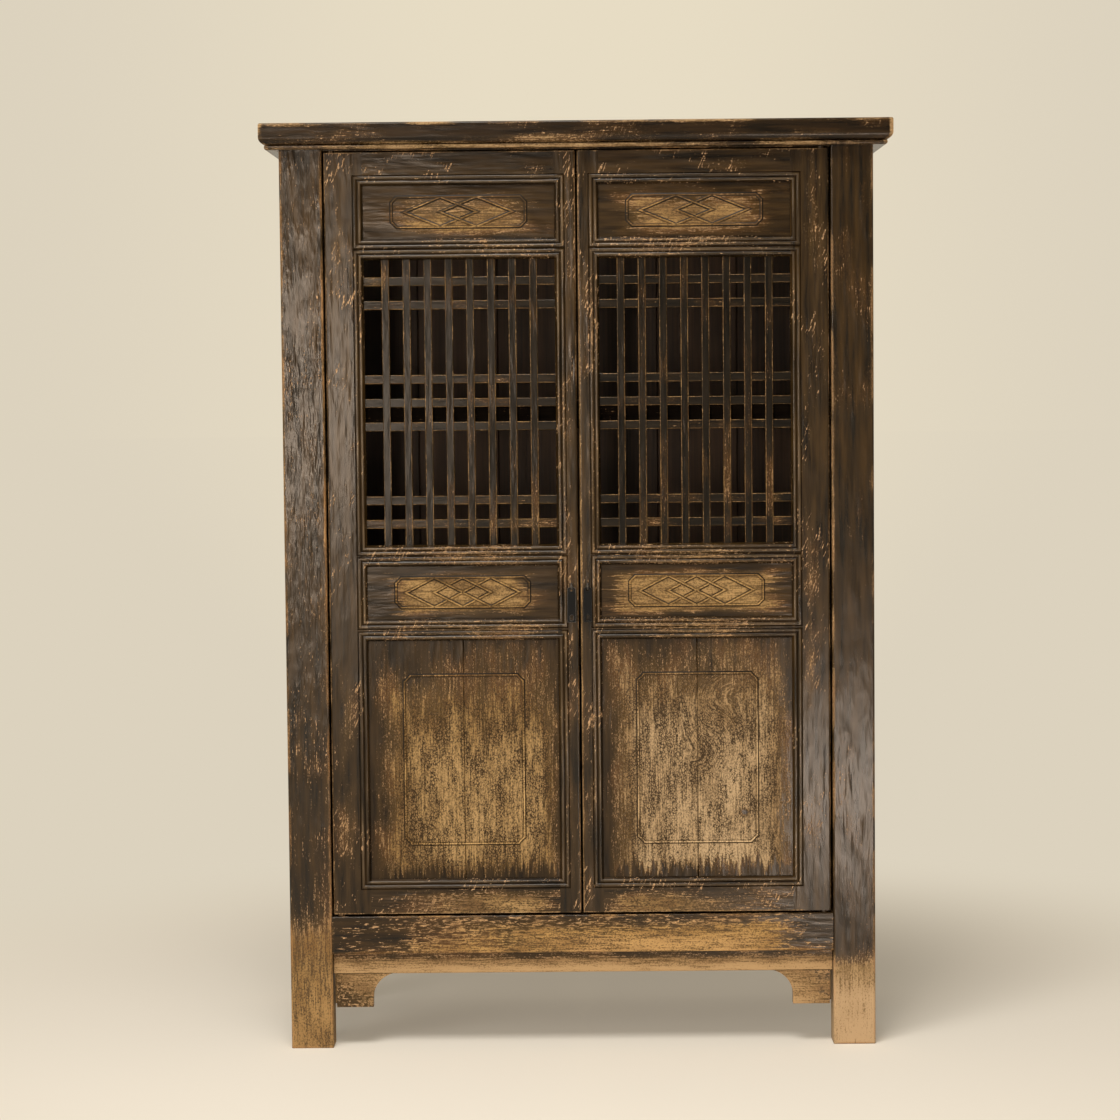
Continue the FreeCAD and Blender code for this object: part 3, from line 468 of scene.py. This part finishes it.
def make_finishes():
    """Every finish of the cabinet by the name of the place that has it."""
    ochre = ("#4a371c", "#78592e", "#927345", "#a68554")
    straw = ("#6b5433", "#8d7350", "#9f855e", "#b29774")
    tan = ("#5f4929", "#896b47", "#9c7e56", "#ad8f66")
    umber_film = ("#181006", "#392a16")
    panel = dict(along="Z", places=WORN_ON_LARGE_PANELS, face_y=-224.5, edge=0.0,
                 fields=WIPED_ON_LARGE_PANELS, carved=(0.3, 1.3), film=umber_film, fleck=(2.0, 5.0),
                 fleck_amount=0.5, mirror=0.2, pore=(0.13, 0.34), crackle=0.16)
    bar = dict(places=WORN_ON_LATTICE, face_y=-225.0, edge=0.0, arris=0.5, film=("#0b0906", "#1f1912"),
               fleck=(1.8, 6.0), ripple=(8.0, 40.0, 0.3), mirror=0.14)
    return {
        "leg_left": worn_lacquer(
            "lacquer_on_left_legs", "Z", WORN_ON_UPRIGHTS, foot=(20.0, 400.0, 1.3), wood=ochre, edge=1.5,
            ripple=(8.5, 44.0, 1.0), mirror=0.34, fleck_amount=0.5, streak_amount=0.42),
        "leg_right": worn_lacquer(
            "lacquer_on_right_legs", "Z", WORN_ON_UPRIGHTS, foot=(85.0, 215.0, 1.7), wood=straw, edge=1.3,
            ripple=(15.0, 90.0, 0.7), mirror=0.28),
        "stile": worn_lacquer(
            "lacquer_on_stiles", "Z", WORN_ON_UPRIGHTS, beads=True, edge=0.0, scratches=0.6,
            rim="#a98a68"),
        "door_rail": worn_lacquer(
            "lacquer_on_door_rails", "X", WORN_ON_RAILS, fields=WIPED_ON_RAILS, beads=True, edge=0.0,
            scratches=0.72, fleck=(2.8, 8.0), fleck_amount=0.5, rim="#a98a68"),
        "rail": worn_lacquer(
            "lacquer_on_rails", "X", WORN_ON_RAILS, fields=WIPED_ON_RAILS,
            wood=("#4f3a1e", "#8d6c3e", "#ab8851", "#c09b66"), fleck=(3.8, 16.0), fleck_amount=0.75,
            scratches=0.2),
        "apron": worn_lacquer(
            "lacquer_on_apron", "X", foot=(156.0, 188.0, 1.3), wear=0.35, wood=tan, edge=0.3,
            fleck=(2.6, 6.0), fleck_amount=0.45),
        "spandrel": worn_lacquer(
            "lacquer_on_spandrels", "X", WORN_ON_SPANDRELS, face_y=-224.0, wear=0.5, edge=0.3, wood=tan,
            fleck=(4.6, 7.0), fleck_amount=0.6, streak_amount=0.12),
        "cap": worn_lacquer(
            "lacquer_on_cap", "X", WORN_ON_CAP, face_y=-274.0, edge=0.7, scratches=0.25,
            film=("#110b05", "#2b1e0f"), ripple=(11.0, 60.0, 0.3), wood=straw, rim="#a5835c",
            mirror=0.24),
        "deep": worn_lacquer("lacquer_on_side_rails", "Y", edge=1.0),
        "side": worn_lacquer("lacquer_on_side_panels", "Z", wear=-0.05, gloss=0.3),
        "small_panel": worn_lacquer(
            "rubbed_small_panels", "X", WORN_ON_SMALL_PANELS, face_y=-224.5, edge=0.0,
            fields=WIPED_ON_SMALL_PANELS, carved=(0.3, 1.15), grain=0.7, crackle=0.06, fleck=(1.8, 7.0),
            fleck_amount=0.28, streak_amount=0.3, film=umber_film, mirror=0.2),
        "large_panel_left": worn_lacquer(
            "rubbed_left_panel", comb=(4.5, 130.0), wood=("#2e200c", "#6f5431", "#95774a", "#ae9164"),
            **panel),
        "large_panel_right": worn_lacquer(
            "rubbed_right_panel", comb=(5.5, 170.0), swirl=SWIRL,
            wood=("#362816", "#7a6140", "#9c815c", "#b49c79"), **panel),
        "bar_upright": worn_lacquer("lacquer_on_lattice_uprights", "Z", **bar),
        "bar_level": worn_lacquer("lacquer_on_lattice_levels", "X", **bar),
        # Near-black lacquer, its colour painted darker still as the shade the shelf rails stand in behind the
        # doors; dull.
        "black_shaded_rail": worn_lacquer(
            "shaded_black_lacquer_on_shelf_rails", "X", edge=0.1, film=("#0d0906", "#15100b"),
            umber=("#1a120b", "#1c110a"), gloss=0.9, mirror=0.05),
        "boards_up": aged_wood("browned_softwood_upright", "Z", "#543d2a", "#221812"),
        "boards_across": aged_wood("browned_softwood_across", "X", "#6b4f36", "#33241a"),
        "iron": forged_iron("blackened_iron", "#0f1214", "#1c1512"),
        "rubbed_iron": forged_iron("rubbed_iron", "#5d5a55", "#3a3029"),
    }


finishes = make_finishes()
node_body = {name: body for body, empty in frame["bodies"].items()
             for name in frame["nodes"] if frame["nodes"][name].parent is empty}


def stand_for(piece, name):
    """A finished piece rides with its CAD node's body and stands for it, the CAD node being hidden."""
    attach(piece, node_body[name])
    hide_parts(name)


def mesh_piece(name, bm, *materials):
    """A new object from finished mesh work: round forms smooth, arrises sharp, broad faces flat."""
    broad_width, broad_turn, small_turn = 8 * MM, math.radians(2), math.radians(40)
    for edge in bm.edges:
        if len(edge.link_faces) == 2:
            width = max(face.calc_area() / max(side.calc_length() for side in face.edges)
                        for face in edge.link_faces)
            edge.smooth = edge.calc_face_angle() < (broad_turn if width > broad_width else small_turn)
    mesh = bpy.data.meshes.new(name)
    bm.to_mesh(mesh)
    bm.free()
    for material in materials:
        mesh.materials.append(material)
    for face in mesh.polygons:
        face.use_smooth = True
    piece = bpy.data.objects.new(name, mesh)
    bpy.context.scene.collection.objects.link(piece)
    return piece


def ease_arrises(bm, width):
    """Plane the sharpness off every square arris."""
    sharp = [edge for edge in bm.edges
             if len(edge.link_faces) == 2 and edge.calc_face_angle() > math.radians(60) and edge.is_convex]
    bmesh.ops.bevel(bm, geom=sharp, offset=width * MM, segments=1, profile=0.5, affect="EDGES",
                    clamp_overlap=True)


def copy_of(name, axis=0, boards=1):
    """Mesh work on a copy of a CAD piece, its loose triangles joined up: one shell for each of the
    equal boards that lie side by side along an axis. Points keep their order, the same each run."""
    bm = bmesh.new()
    bm.from_mesh(frame["nodes"][name].data)
    low, high = (corner[axis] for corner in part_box(name))
    shells = [{} for _ in range(boards)]
    for face in bm.faces:
        inside = face.calc_center_median()[axis] - face.normal[axis] * MM
        number = min(int((inside - low) / (high - low) * boards), boards - 1)
        shells[number].update(dict.fromkeys(face.verts))
    for shell in shells:
        bmesh.ops.remove_doubles(bm, verts=list(shell), dist=0.002 * MM)
    bmesh.ops.dissolve_limit(bm, angle_limit=math.radians(0.5), verts=bm.verts, edges=bm.edges)
    return bm


def door_openings(side):
    """The four openings of a door as their middles and half sizes, from its rails and stiles."""
    outer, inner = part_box(side + "_door_stile_outer"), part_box(side + "_door_stile_inner")
    if side == "left":
        x = (outer[1].x, inner[0].x)
    else:
        x = (inner[1].x, outer[0].x)
    openings = []
    for above, below in zip(DOOR_RAILS, DOOR_RAILS[1:]):
        z = (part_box("%s_door_%s" % (side, below))[1].z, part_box("%s_door_%s" % (side, above))[0].z)
        openings.append(((x[0] + x[1]) / 2, (z[0] + z[1]) / 2, (x[1] - x[0]) / 2, (z[1] - z[0]) / 2))
    return openings


def mark_moulding(piece, openings):
    """Keep on each point how far it is from the nearest opening, over the moulding's width."""
    away = piece.data.attributes.new("from_opening", "FLOAT", "POINT")
    for i, vertex in enumerate(piece.data.vertices):
        near = min(max(abs(vertex.co.x - x) - half_x, abs(vertex.co.z - z) - half_z)
                   for x, z, half_x, half_z in openings)
        away.data[i].value = min(max(near / MM / MOULDING_WIDTH, 0.0), 1.0)


def dress(name, finish, arris, axis=0, boards=1):
    """A finished copy of one CAD piece. Where it is unpainted, each of its equal boards, laid side by
    side along an axis, has a tone of its own."""
    bm = copy_of(name, axis, boards)
    if arris:
        ease_arrises(bm, arris)
    piece = mesh_piece(name + "_finished", bm, finishes[finish])
    if finish.startswith("boards"):
        low, high = (corner[axis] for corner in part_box(name))
        tone = piece.data.attributes.new("board_tone", "FLOAT", "FACE")
        for face in piece.data.polygons:
            inside = face.center[axis] - face.normal[axis] * MM
            number = int((inside - low) / (high - low) * boards)
            tone.data[face.index].value = (number * 0.618 + 0.3) % 1.0
    stand_for(piece, name)
    return piece


# How a carcase piece is dressed, by how its name starts and ends; the first row that fits counts.
# Then come its finish, the width of its eased arrises in millimetres, and the axis and number of
# boards that lie side by side.
CARCASE_LOOKS = [
    ("leg_", "left", "leg_left", 1.5),
    ("leg_", "right", "leg_right", 1.5),
    (("head_rail", "bottom_rail", "waist_rail"), ("front", "back"), "rail", 1.2),
    (("head_rail", "bottom_rail", "waist_rail"), "", "deep", 1.2),
    ("shelf_rail", "", "black_shaded_rail", 1.2),
    ("apron", "front", "apron", 1.5),
    ("apron", "", "deep", 1.5),
    ("spandrel", "", "spandrel", 1.5),
    ("cap", ("front", "back"), "cap", 0.0),
    ("cap", "", "deep", 0.0),
    ("side_panels", "", "side", 1.0),
    ("back_boards", "", "boards_up", 2.0, 0, 6),
    ("shelf_bearers", "", "boards_across", 1.5, 1, 1),
    ("", "", "boards_across", 1.5, 1, 3),
]


def dress_carcase():
    """Legs, rails, boards, shelves and the cap."""
    for name in frame["nodes"]:
        if node_body[name] == "carcase":
            look = next(look for start, end, *look in CARCASE_LOOKS
                        if name.startswith(start) and name.endswith(end))
            dress(name, *look)


def sweep_line(bm, path, face_y, shaded_side):
    """Run a low rounded line along a closed path of (x, z, lift) points in millimetres, and mark its crest,
    lit flank and shaded flank for painted highlight and painted shade; the flank on the shaded side, 1 inside
    and -1 outside, is the darker one."""
    carving = bm.verts.layers.float["on_carving"]
    # Marks of the crest, the lit flank and the shaded flank, which the finish turns into painted highlight
    # and painted shade.
    crest, light, dark, sharpest = 1.0, 0.72, 0.5, 0.35
    section = [(-0.5, -1.0), (-0.5, 0.05), (-0.2, 0.8), (-0.13, 1.0), (0.13, 1.0), (0.2, 0.8), (0.5, 0.05),
               (0.5, -1.0)]
    count = len(path)
    rings = []
    for i in range(count):
        before, here, after = path[i - 1], path[i], path[(i + 1) % count]
        into = Vector((here[0] - before[0], here[1] - before[1])).normalized()
        out = Vector((after[0] - here[0], after[1] - here[1])).normalized()
        normal_in = Vector((-into.y, into.x))
        mitre = (normal_in + Vector((-out.y, out.x))).normalized()
        mitre /= max(mitre.dot(normal_in), sharpest)
        ring = []
        for across, height in section:
            x = here[0] + mitre.x * across * LINE_WIDTH
            z = here[1] + mitre.y * across * LINE_WIDTH
            y = face_y - (height * LINE_HEIGHT + here[2])
            point = bm.verts.new((x * MM, y * MM, z * MM))
            point[carving] = crest if height == 1.0 else dark if across * shaded_side > 0 else light
            ring.append(point)
        rings.append(ring)
    for i in range(count):
        for j in range(len(section) - 1):
            a, b = rings[i], rings[(i + 1) % count]
            bm.faces.new((a[j], b[j], b[j + 1], a[j + 1]))
        bm.faces.new((a[-1], b[-1], b[0], a[0]))


def crossing(a, b, c, d):
    """Share along a-b at which it meets c-d, or None."""
    r, s = Vector(b) - Vector(a), Vector(d) - Vector(c)
    turn = r.x * s.y - r.y * s.x
    if abs(turn) < 1e-6:
        return None
    gap = Vector(c) - Vector(a)
    t = (gap.x * s.y - gap.y * s.x) / turn
    u = (gap.x * r.y - gap.y * r.x) / turn
    return t if 0.02 < t < 0.98 and 0.02 < u < 0.98 else None


def woven_paths(outlines):
    """Closed outlines that pass over and under each other in turn."""
    reach, over, under = 5.5, 0.25, -1.5
    paths = []
    for k, outline in enumerate(outlines):
        path = []
        middle_z = sum(point[1] for point in outline) / len(outline)
        for i, start in enumerate(outline):
            end = outline[(i + 1) % len(outline)]
            length = (Vector(end) - Vector(start)).length
            meets = []
            for m, other in enumerate(outlines):
                if m == k:
                    continue
                for j, c in enumerate(other):
                    t = crossing(start, end, c, other[(j + 1) % len(other)])
                    if t is not None:
                        above = start[1] + (end[1] - start[1]) * t > middle_z
                        meets.append((t, over if above == (k < m) else under))
            path.append((start[0], start[1], 0.0))
            for t, lift in sorted(meets):
                for step, share in ((-reach, 0.0), (-reach / 2, 1.0), (reach / 2, 1.0), (reach, 0.0)):
                    at = t + step / length
                    path.append((start[0] + (end[0] - start[0]) * at, start[1] + (end[1] - start[1]) * at,
                                 lift * share))
        paths.append(path)
    return paths


def cut_corner_frame(x, z, size, stepped=False):
    """Corners of a frame line with its corners cut off, in a small step each side where stepped."""
    half_w, half_t, cut = size[0] / 2, size[1] / 2, size[2]
    corner = [(half_w, half_t - cut), (half_w - cut, half_t)]
    if stepped:
        jog = cut / 5
        corner[1:1] = [(half_w - jog, half_t - cut + jog / 2), (half_w - cut + jog / 2, half_t - jog)]
    path = []
    for sx, sz, flip in ((1, 1, False), (-1, 1, True), (-1, -1, False), (1, -1, True)):
        for across, up in (reversed(corner) if flip else corner):
            path.append((x + sx * across, z + sz * up, 0.0))
    return path


def lozenge_chain(x, z, count, half_wide):
    """Lozenges in a row, each reaching the middle of the next."""
    chain = []
    for i in range(count):
        middle = x + (i - (count - 1) / 2) * half_wide
        chain.append([(middle - half_wide, z), (middle, z - LOZENGE_HALF_HEIGHT), (middle + half_wide, z),
                      (middle, z + LOZENGE_HALF_HEIGHT)])
    return chain


def board(bm, low, high, arris):
    """One flat board between two corners, with eased arrises."""
    made = bmesh.ops.create_cube(bm, size=1.0)["verts"]
    for vertex in made:
        vertex.co = vertex.co * (high - low) + (low + high) / 2
    edges = dict.fromkeys(edge for vertex in made for edge in vertex.link_edges)
    bmesh.ops.bevel(bm, geom=list(edges), offset=arris * MM, segments=1, profile=0.5, affect="EDGES")


def make_door_panel(side, row, finish, boards):
    """A door panel with its carved line work, in as many boards as the real one."""
    name = "%s_door_%s" % (side, row)
    low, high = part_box(name)
    low = Vector((low.x, low.y + LINE_HEIGHT * MM, low.z))
    face_y = low.y / MM
    x, z = (low.x + high.x) / 2 / MM, (low.z + high.z) / 2 / MM
    bm = bmesh.new()
    bm.verts.layers.float.new("on_carving")
    wide = (high.x - low.x) / boards
    for i in range(boards):
        left = low.x + wide * i
        right = low.x + wide * (i + 1)
        board(bm, Vector((left, low.y, low.z)), Vector((right, high.y, high.z)), 1.5)
    if row == "lower_panel":
        sweep_line(bm, cut_corner_frame(x, z, LARGE_FRAME, stepped=True), face_y, -1)
    else:
        sweep_line(bm, cut_corner_frame(x, z, SMALL_FRAME), face_y, -1)
        count, half_wide = (2, 72.0) if row == "top_panel" else (3, 57.0)
        for path in woven_paths(lozenge_chain(x, z, count, half_wide)):
            sweep_line(bm, path, face_y, 1)
    bmesh.ops.recalc_face_normals(bm, faces=bm.faces)
    piece = mesh_piece(name + "_carved", bm, finishes[finish])
    stand_for(piece, name)


def slat_tree():
    """Geometry nodes for a run of equal slats with eased arrises, cut by hand a little unevenly."""
    tree = bpy.data.node_groups.new("slats", "GeometryNodeTree")
    tree.interface.new_socket("Geometry", in_out="OUTPUT", socket_type="NodeSocketGeometry")
    wanted = {"Count": "Int", "First": "Vector", "Step": "Vector", "Run": "Vector", "Width": "Float",
              "Depth": "Float", "Arris": "Float", "Unevenness": "Float", "Finish": "Material"}
    for name, kind in wanted.items():
        tree.interface.new_socket(name, in_out="INPUT", socket_type="NodeSocket" + kind)
    given = put(tree, "NodeGroupInput").node.outputs
    back = put(tree, "ShaderNodeVectorMath", {0: given["Run"], "Scale": -1.0}, operation="SCALE")
    line = put(tree, "GeometryNodeCurvePrimitiveLine", {"Start": back, "End": given["Run"]})
    line = put(tree, "GeometryNodeResampleCurve", {"Curve": line, "Count": 40})
    section = put(tree, "GeometryNodeCurvePrimitiveQuadrilateral", {
        "Width": given["Width"], "Height": given["Depth"]})
    section = put(tree, "GeometryNodeFilletCurve", {"Curve": section, "Count": 2, "Radius": given["Arris"]},
                  mode="POLY")
    slat = put(tree, "GeometryNodeCurveToMesh", {"Curve": line, "Profile Curve": section, "Fill Caps": True})
    row = put(tree, "GeometryNodeMeshLine", {
        "Count": given["Count"], "Start Location": given["First"], "Offset": given["Step"]})
    run = put(tree, "GeometryNodeInstanceOnPoints", {"Points": row, "Instance": slat})
    real = put(tree, "GeometryNodeRealizeInstances", {"Geometry": run})
    spot = put(tree, "GeometryNodeInputPosition")
    wander = put(tree, "ShaderNodeTexNoise", {"Vector": spot, "W": 3.0, "Scale": 22.0, "Detail": 1.0},
                 noise_dimensions="4D").node.outputs["Color"]
    wander = put(tree, "ShaderNodeVectorMath", {0: wander, 1: (0.5, 0.5, 0.5)}, operation="SUBTRACT")
    wander = put(tree, "ShaderNodeVectorMath", {0: wander, "Scale": given["Unevenness"]}, operation="SCALE")
    moved = put(tree, "GeometryNodeSetPosition", {"Geometry": real, "Offset": wander})
    done = put(tree, "GeometryNodeSetMaterial", {"Geometry": moved, "Material": given["Finish"]})
    put(tree, "NodeGroupOutput", {0: done})
    return tree


def run_of_slats(tree, **wanted):
    """The plain mesh that the slat nodes give for these sizes."""
    holder = bpy.data.objects.new("slats", bpy.data.meshes.new("slats"))
    bpy.context.scene.collection.objects.link(holder)
    modifier = holder.modifiers.new("slats", "NODES")
    modifier.node_group = tree
    for item in tree.interface.items_tree:
        if item.item_type == "SOCKET" and item.in_out == "INPUT":
            modifier[item.identifier] = wanted[item.name]
    graph = bpy.context.evaluated_depsgraph_get()
    mesh = bpy.data.meshes.new_from_object(holder.evaluated_get(graph), depsgraph=graph)
    bpy.data.objects.remove(holder)
    return mesh


def make_lattice(side, tree):
    """Eight uprights in front and seven level bars halved into them."""
    name = side + "_door_lattice"
    x, z, half_x, half_z = [value / MM for value in door_openings(side)[1]]
    face_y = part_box(name)[0].y / MM
    # All in millimetres; sunk is how far the level bars lie behind the uprights' face.
    width, depth, arris, tenon, sunk = 15.0, 18.0, 1.3, 4.5, 0.35
    side_gap, pair_pitch, end_gap = 35.6, 47.3, 43.0
    uprights = 8
    first = x - half_x + side_gap + width / 2
    pitch = (2 * half_x - 2 * side_gap - width) / (uprights - 1)
    deep = face_y + depth / 2
    common = {"Width": width * MM, "Depth": depth * MM, "Arris": arris * MM, "Unevenness": 0.7 * MM}
    runs = [dict(common, Count=uprights, First=Vector((first, deep, z)) * MM,
                 Step=Vector((pitch, 0, 0)) * MM, Run=Vector((0, 0, half_z + tenon)) * MM,
                 Finish=finishes["bar_upright"])]
    for count, bottom in ((3, z - pair_pitch), (2, z - half_z + end_gap),
                          (2, z + half_z - end_gap - pair_pitch)):
        runs.append(dict(common, Count=count, First=Vector((x, deep, bottom)) * MM,
                         Step=Vector((0, 0, pair_pitch)) * MM, Run=Vector((half_x + tenon, 0, 0)) * MM,
                         Finish=finishes["bar_level"], Depth=(depth - 2 * sunk) * MM))
    bm = bmesh.new()
    for run in runs:
        slot = 0 if run["Finish"] is finishes["bar_upright"] else 1
        faces_before = len(bm.faces)
        bm.from_mesh(run_of_slats(tree, **run))
        bm.faces.ensure_lookup_table()
        for face in bm.faces[faces_before:]:
            face.material_index = slot
    piece = mesh_piece(name + "_slats", bm, finishes["bar_upright"], finishes["bar_level"])
    straight = 0.97
    rounded = piece.data.attributes.new("on_arris", "FLOAT", "FACE")
    for face in piece.data.polygons:
        rounded.data[face.index].value = float(max(abs(part) for part in face.normal) < straight)
    stand_for(piece, name)


def make_pull(side):
    """An iron drop pull: its head, beside the hole, is drawn out to nearly the width of its plate."""
    name = side + "_door_pull"
    hole_below_top, hole_rim, head_below_hole, spread = 5.8, 3.4, 2.0, 1.4
    low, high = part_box(name)
    middle = (low.x + high.x) / 2
    hole = Vector((middle, 0, high.z - hole_below_top * MM))
    bm = copy_of(name)
    for vertex in bm.verts:
        away = Vector((vertex.co.x, 0, vertex.co.z)) - hole
        if away.z > -head_below_hole * MM and away.length > hole_rim * MM:
            vertex.co.x = middle + (vertex.co.x - middle) * spread
    ease_arrises(bm, 0.5)
    piece = mesh_piece(name + "_finished", bm, finishes["iron"])
    stand_for(piece, name)


def make_doors():
    """Frames, panels, lattice and iron of both doors."""
    tree = slat_tree()
    for side in ("left", "right"):
        openings = door_openings(side)
        for row in ["stile_outer", "stile_inner"] + DOOR_RAILS:
            name = "%s_door_%s" % (side, row)
            piece = dress(name, "stile" if row.startswith("stile") else "door_rail", 0.0)
            mark_moulding(piece, openings)
        make_door_panel(side, "top_panel", "small_panel", 1)
        make_door_panel(side, "middle_panel", "small_panel", 1)
        make_door_panel(side, "lower_panel", "large_panel_" + side, 2)
        make_lattice(side, tree)
        dress(side + "_door_cotter", "rubbed_iron", 0.0)
        make_pull(side)


def paper_colour(tree, direction):
    """Cream paper, a little lighter in the middle."""
    level = put(tree, "ShaderNodeVectorMath", [direction], operation="NORMALIZE")
    side = put(tree, "ShaderNodeSeparateXYZ", [level]).node.outputs["X"]
    side = put(tree, "ShaderNodeMath", [side], operation="ABSOLUTE")
    side = put(tree, "ShaderNodeMapRange", [side, 0.02, 0.2, 0.0, 1.0], interpolation_type="SMOOTHSTEP")
    return put(tree, "ShaderNodeMix", {"Factor": side, "A": colour("#e7dcc4"), "B": colour("#dcd2be")},
               data_type="RGBA")


def make_backdrop():
    """A pale cream floor that runs out into the paper behind it."""
    radius = 60.0
    material, tree, place = new_finish("cream_paper")
    flat = put(tree, "ShaderNodeVectorMath", [place, (1.0, 1.0, 0.0)], operation="MULTIPLY")
    reach = put(tree, "ShaderNodeVectorMath", [flat], operation="LENGTH").node.outputs["Value"]
    far = put(tree, "ShaderNodeMapRange", [reach, 800.0, 2300.0, 0.25, 1.0],
              interpolation_type="SMOOTHSTEP")
    rays = put(tree, "ShaderNodeLightPath").node.outputs
    seen = put(tree, "ShaderNodeMath", [rays["Is Camera Ray"], rays["Is Glossy Ray"]], operation="ADD")
    seen = put(tree, "ShaderNodeMath", [seen, rays["Is Transmission Ray"]], operation="ADD")
    shown = put(tree, "ShaderNodeMath", [far, seen], operation="MULTIPLY", use_clamp=True)
    cloth = put(tree, "ShaderNodeBsdfDiffuse", {"Color": colour("#f5f1ea")})
    pale = put(tree, "ShaderNodeMix", {"Factor": far, "A": colour("#f4e6cd"), "B": paper_colour(tree, flat)},
               data_type="RGBA")
    glow = put(tree, "ShaderNodeEmission", {"Color": pale, "Strength": 1.0})
    mixed = put(tree, "ShaderNodeMixShader", [shown, cloth, glow])
    put(tree, "ShaderNodeOutputMaterial", {"Surface": mixed})
    bm = bmesh.new()
    bmesh.ops.create_circle(bm, cap_ends=True, segments=96, radius=radius)
    floor = mesh_piece("floor", bm, material)


def area_light(name, at, aim, size, radiance, tint):
    """A soft box of one size and brightness at one place, turned to where it is aimed."""
    lamp = bpy.data.lights.new(name, "AREA")
    lamp.shape = "SQUARE"
    lamp.size = size
    lamp.energy = radiance * math.pi * size ** 2
    lamp.color = colour(tint)[:3]
    box = bpy.data.objects.new(name, lamp)
    box.location = at
    box.rotation_euler = (Vector(aim) - Vector(at)).to_track_quat("-Z", "Y").to_euler()
    bpy.context.scene.collection.objects.link(box)


def make_studio():
    """A window on the left, soft light overhead, and two cards whose light the lacquer mirrors."""
    area_light("left_window", (-3.7, -3.9, 2.1), (0.0, -0.2, 1.0), 2.0, 4.5, "#fff9ef")
    area_light("left_card", (-1.2, -5.9, 1.25), (-0.5, -0.2, 1.1), 0.75, 38.0, "#ffe8d0")
    area_light("low_card", (0.74, -2.4, 0.2), (0.55, -0.2, 0.5), 0.32, 34.0, "#ffead6")
    area_light("overhead_softbox", (-0.6, -2.6, 4.6), (0.0, -0.5, 0.2), 1.8, 15.0, "#fff9ef")
    area_light("overhead_strip", (-0.1, -1.0, 3.3), (0.0, -0.3, 1.0), 0.5, 7.0, "#fff9ef")
    world = bpy.data.worlds.new("studio")
    bpy.context.scene.world = world
    world.use_nodes = True
    tree = world.node_tree
    tree.nodes.clear()
    direction = put(tree, "ShaderNodeTexCoord").node.outputs["Generated"]
    flat = put(tree, "ShaderNodeVectorMath", [direction, (1.0, 1.0, 0.0)], operation="MULTIPLY")
    rays = put(tree, "ShaderNodeLightPath").node.outputs
    seen = put(tree, "ShaderNodeMath", [rays["Is Camera Ray"], rays["Is Transmission Ray"]], operation="ADD",
               use_clamp=True)
    lit = put(tree, "ShaderNodeBackground", {"Color": colour("#fbebd2"), "Strength": 0.25})
    shown = put(tree, "ShaderNodeBackground", {"Color": paper_colour(tree, flat), "Strength": 1.0})
    mixed = put(tree, "ShaderNodeMixShader", [seen, lit, shown])
    put(tree, "ShaderNodeOutputWorld", {"Surface": mixed})


def make_camera():
    """The photograph's own view."""
    camera = bpy.data.cameras.new("view")
    camera.sensor_width = 36.0
    camera.lens = LENS
    holder = bpy.data.objects.new("view", camera)
    turn = Matrix.Rotation(math.radians(TURNED_LEFT), 4, "Z")
    tip = Matrix.Rotation(math.radians(90.0 - TIPPED_DOWN), 4, "X")
    roll = Matrix.Rotation(math.radians(-ROLLED_RIGHT), 4, "Z")
    holder.matrix_world = Matrix.Translation(EYE) @ turn @ tip @ roll
    bpy.context.scene.collection.objects.link(holder)
    bpy.context.scene.camera = holder


dress_carcase()
make_doors()
make_backdrop()
make_studio()
make_camera()
bpy.context.scene.view_settings.view_transform = "Standard"
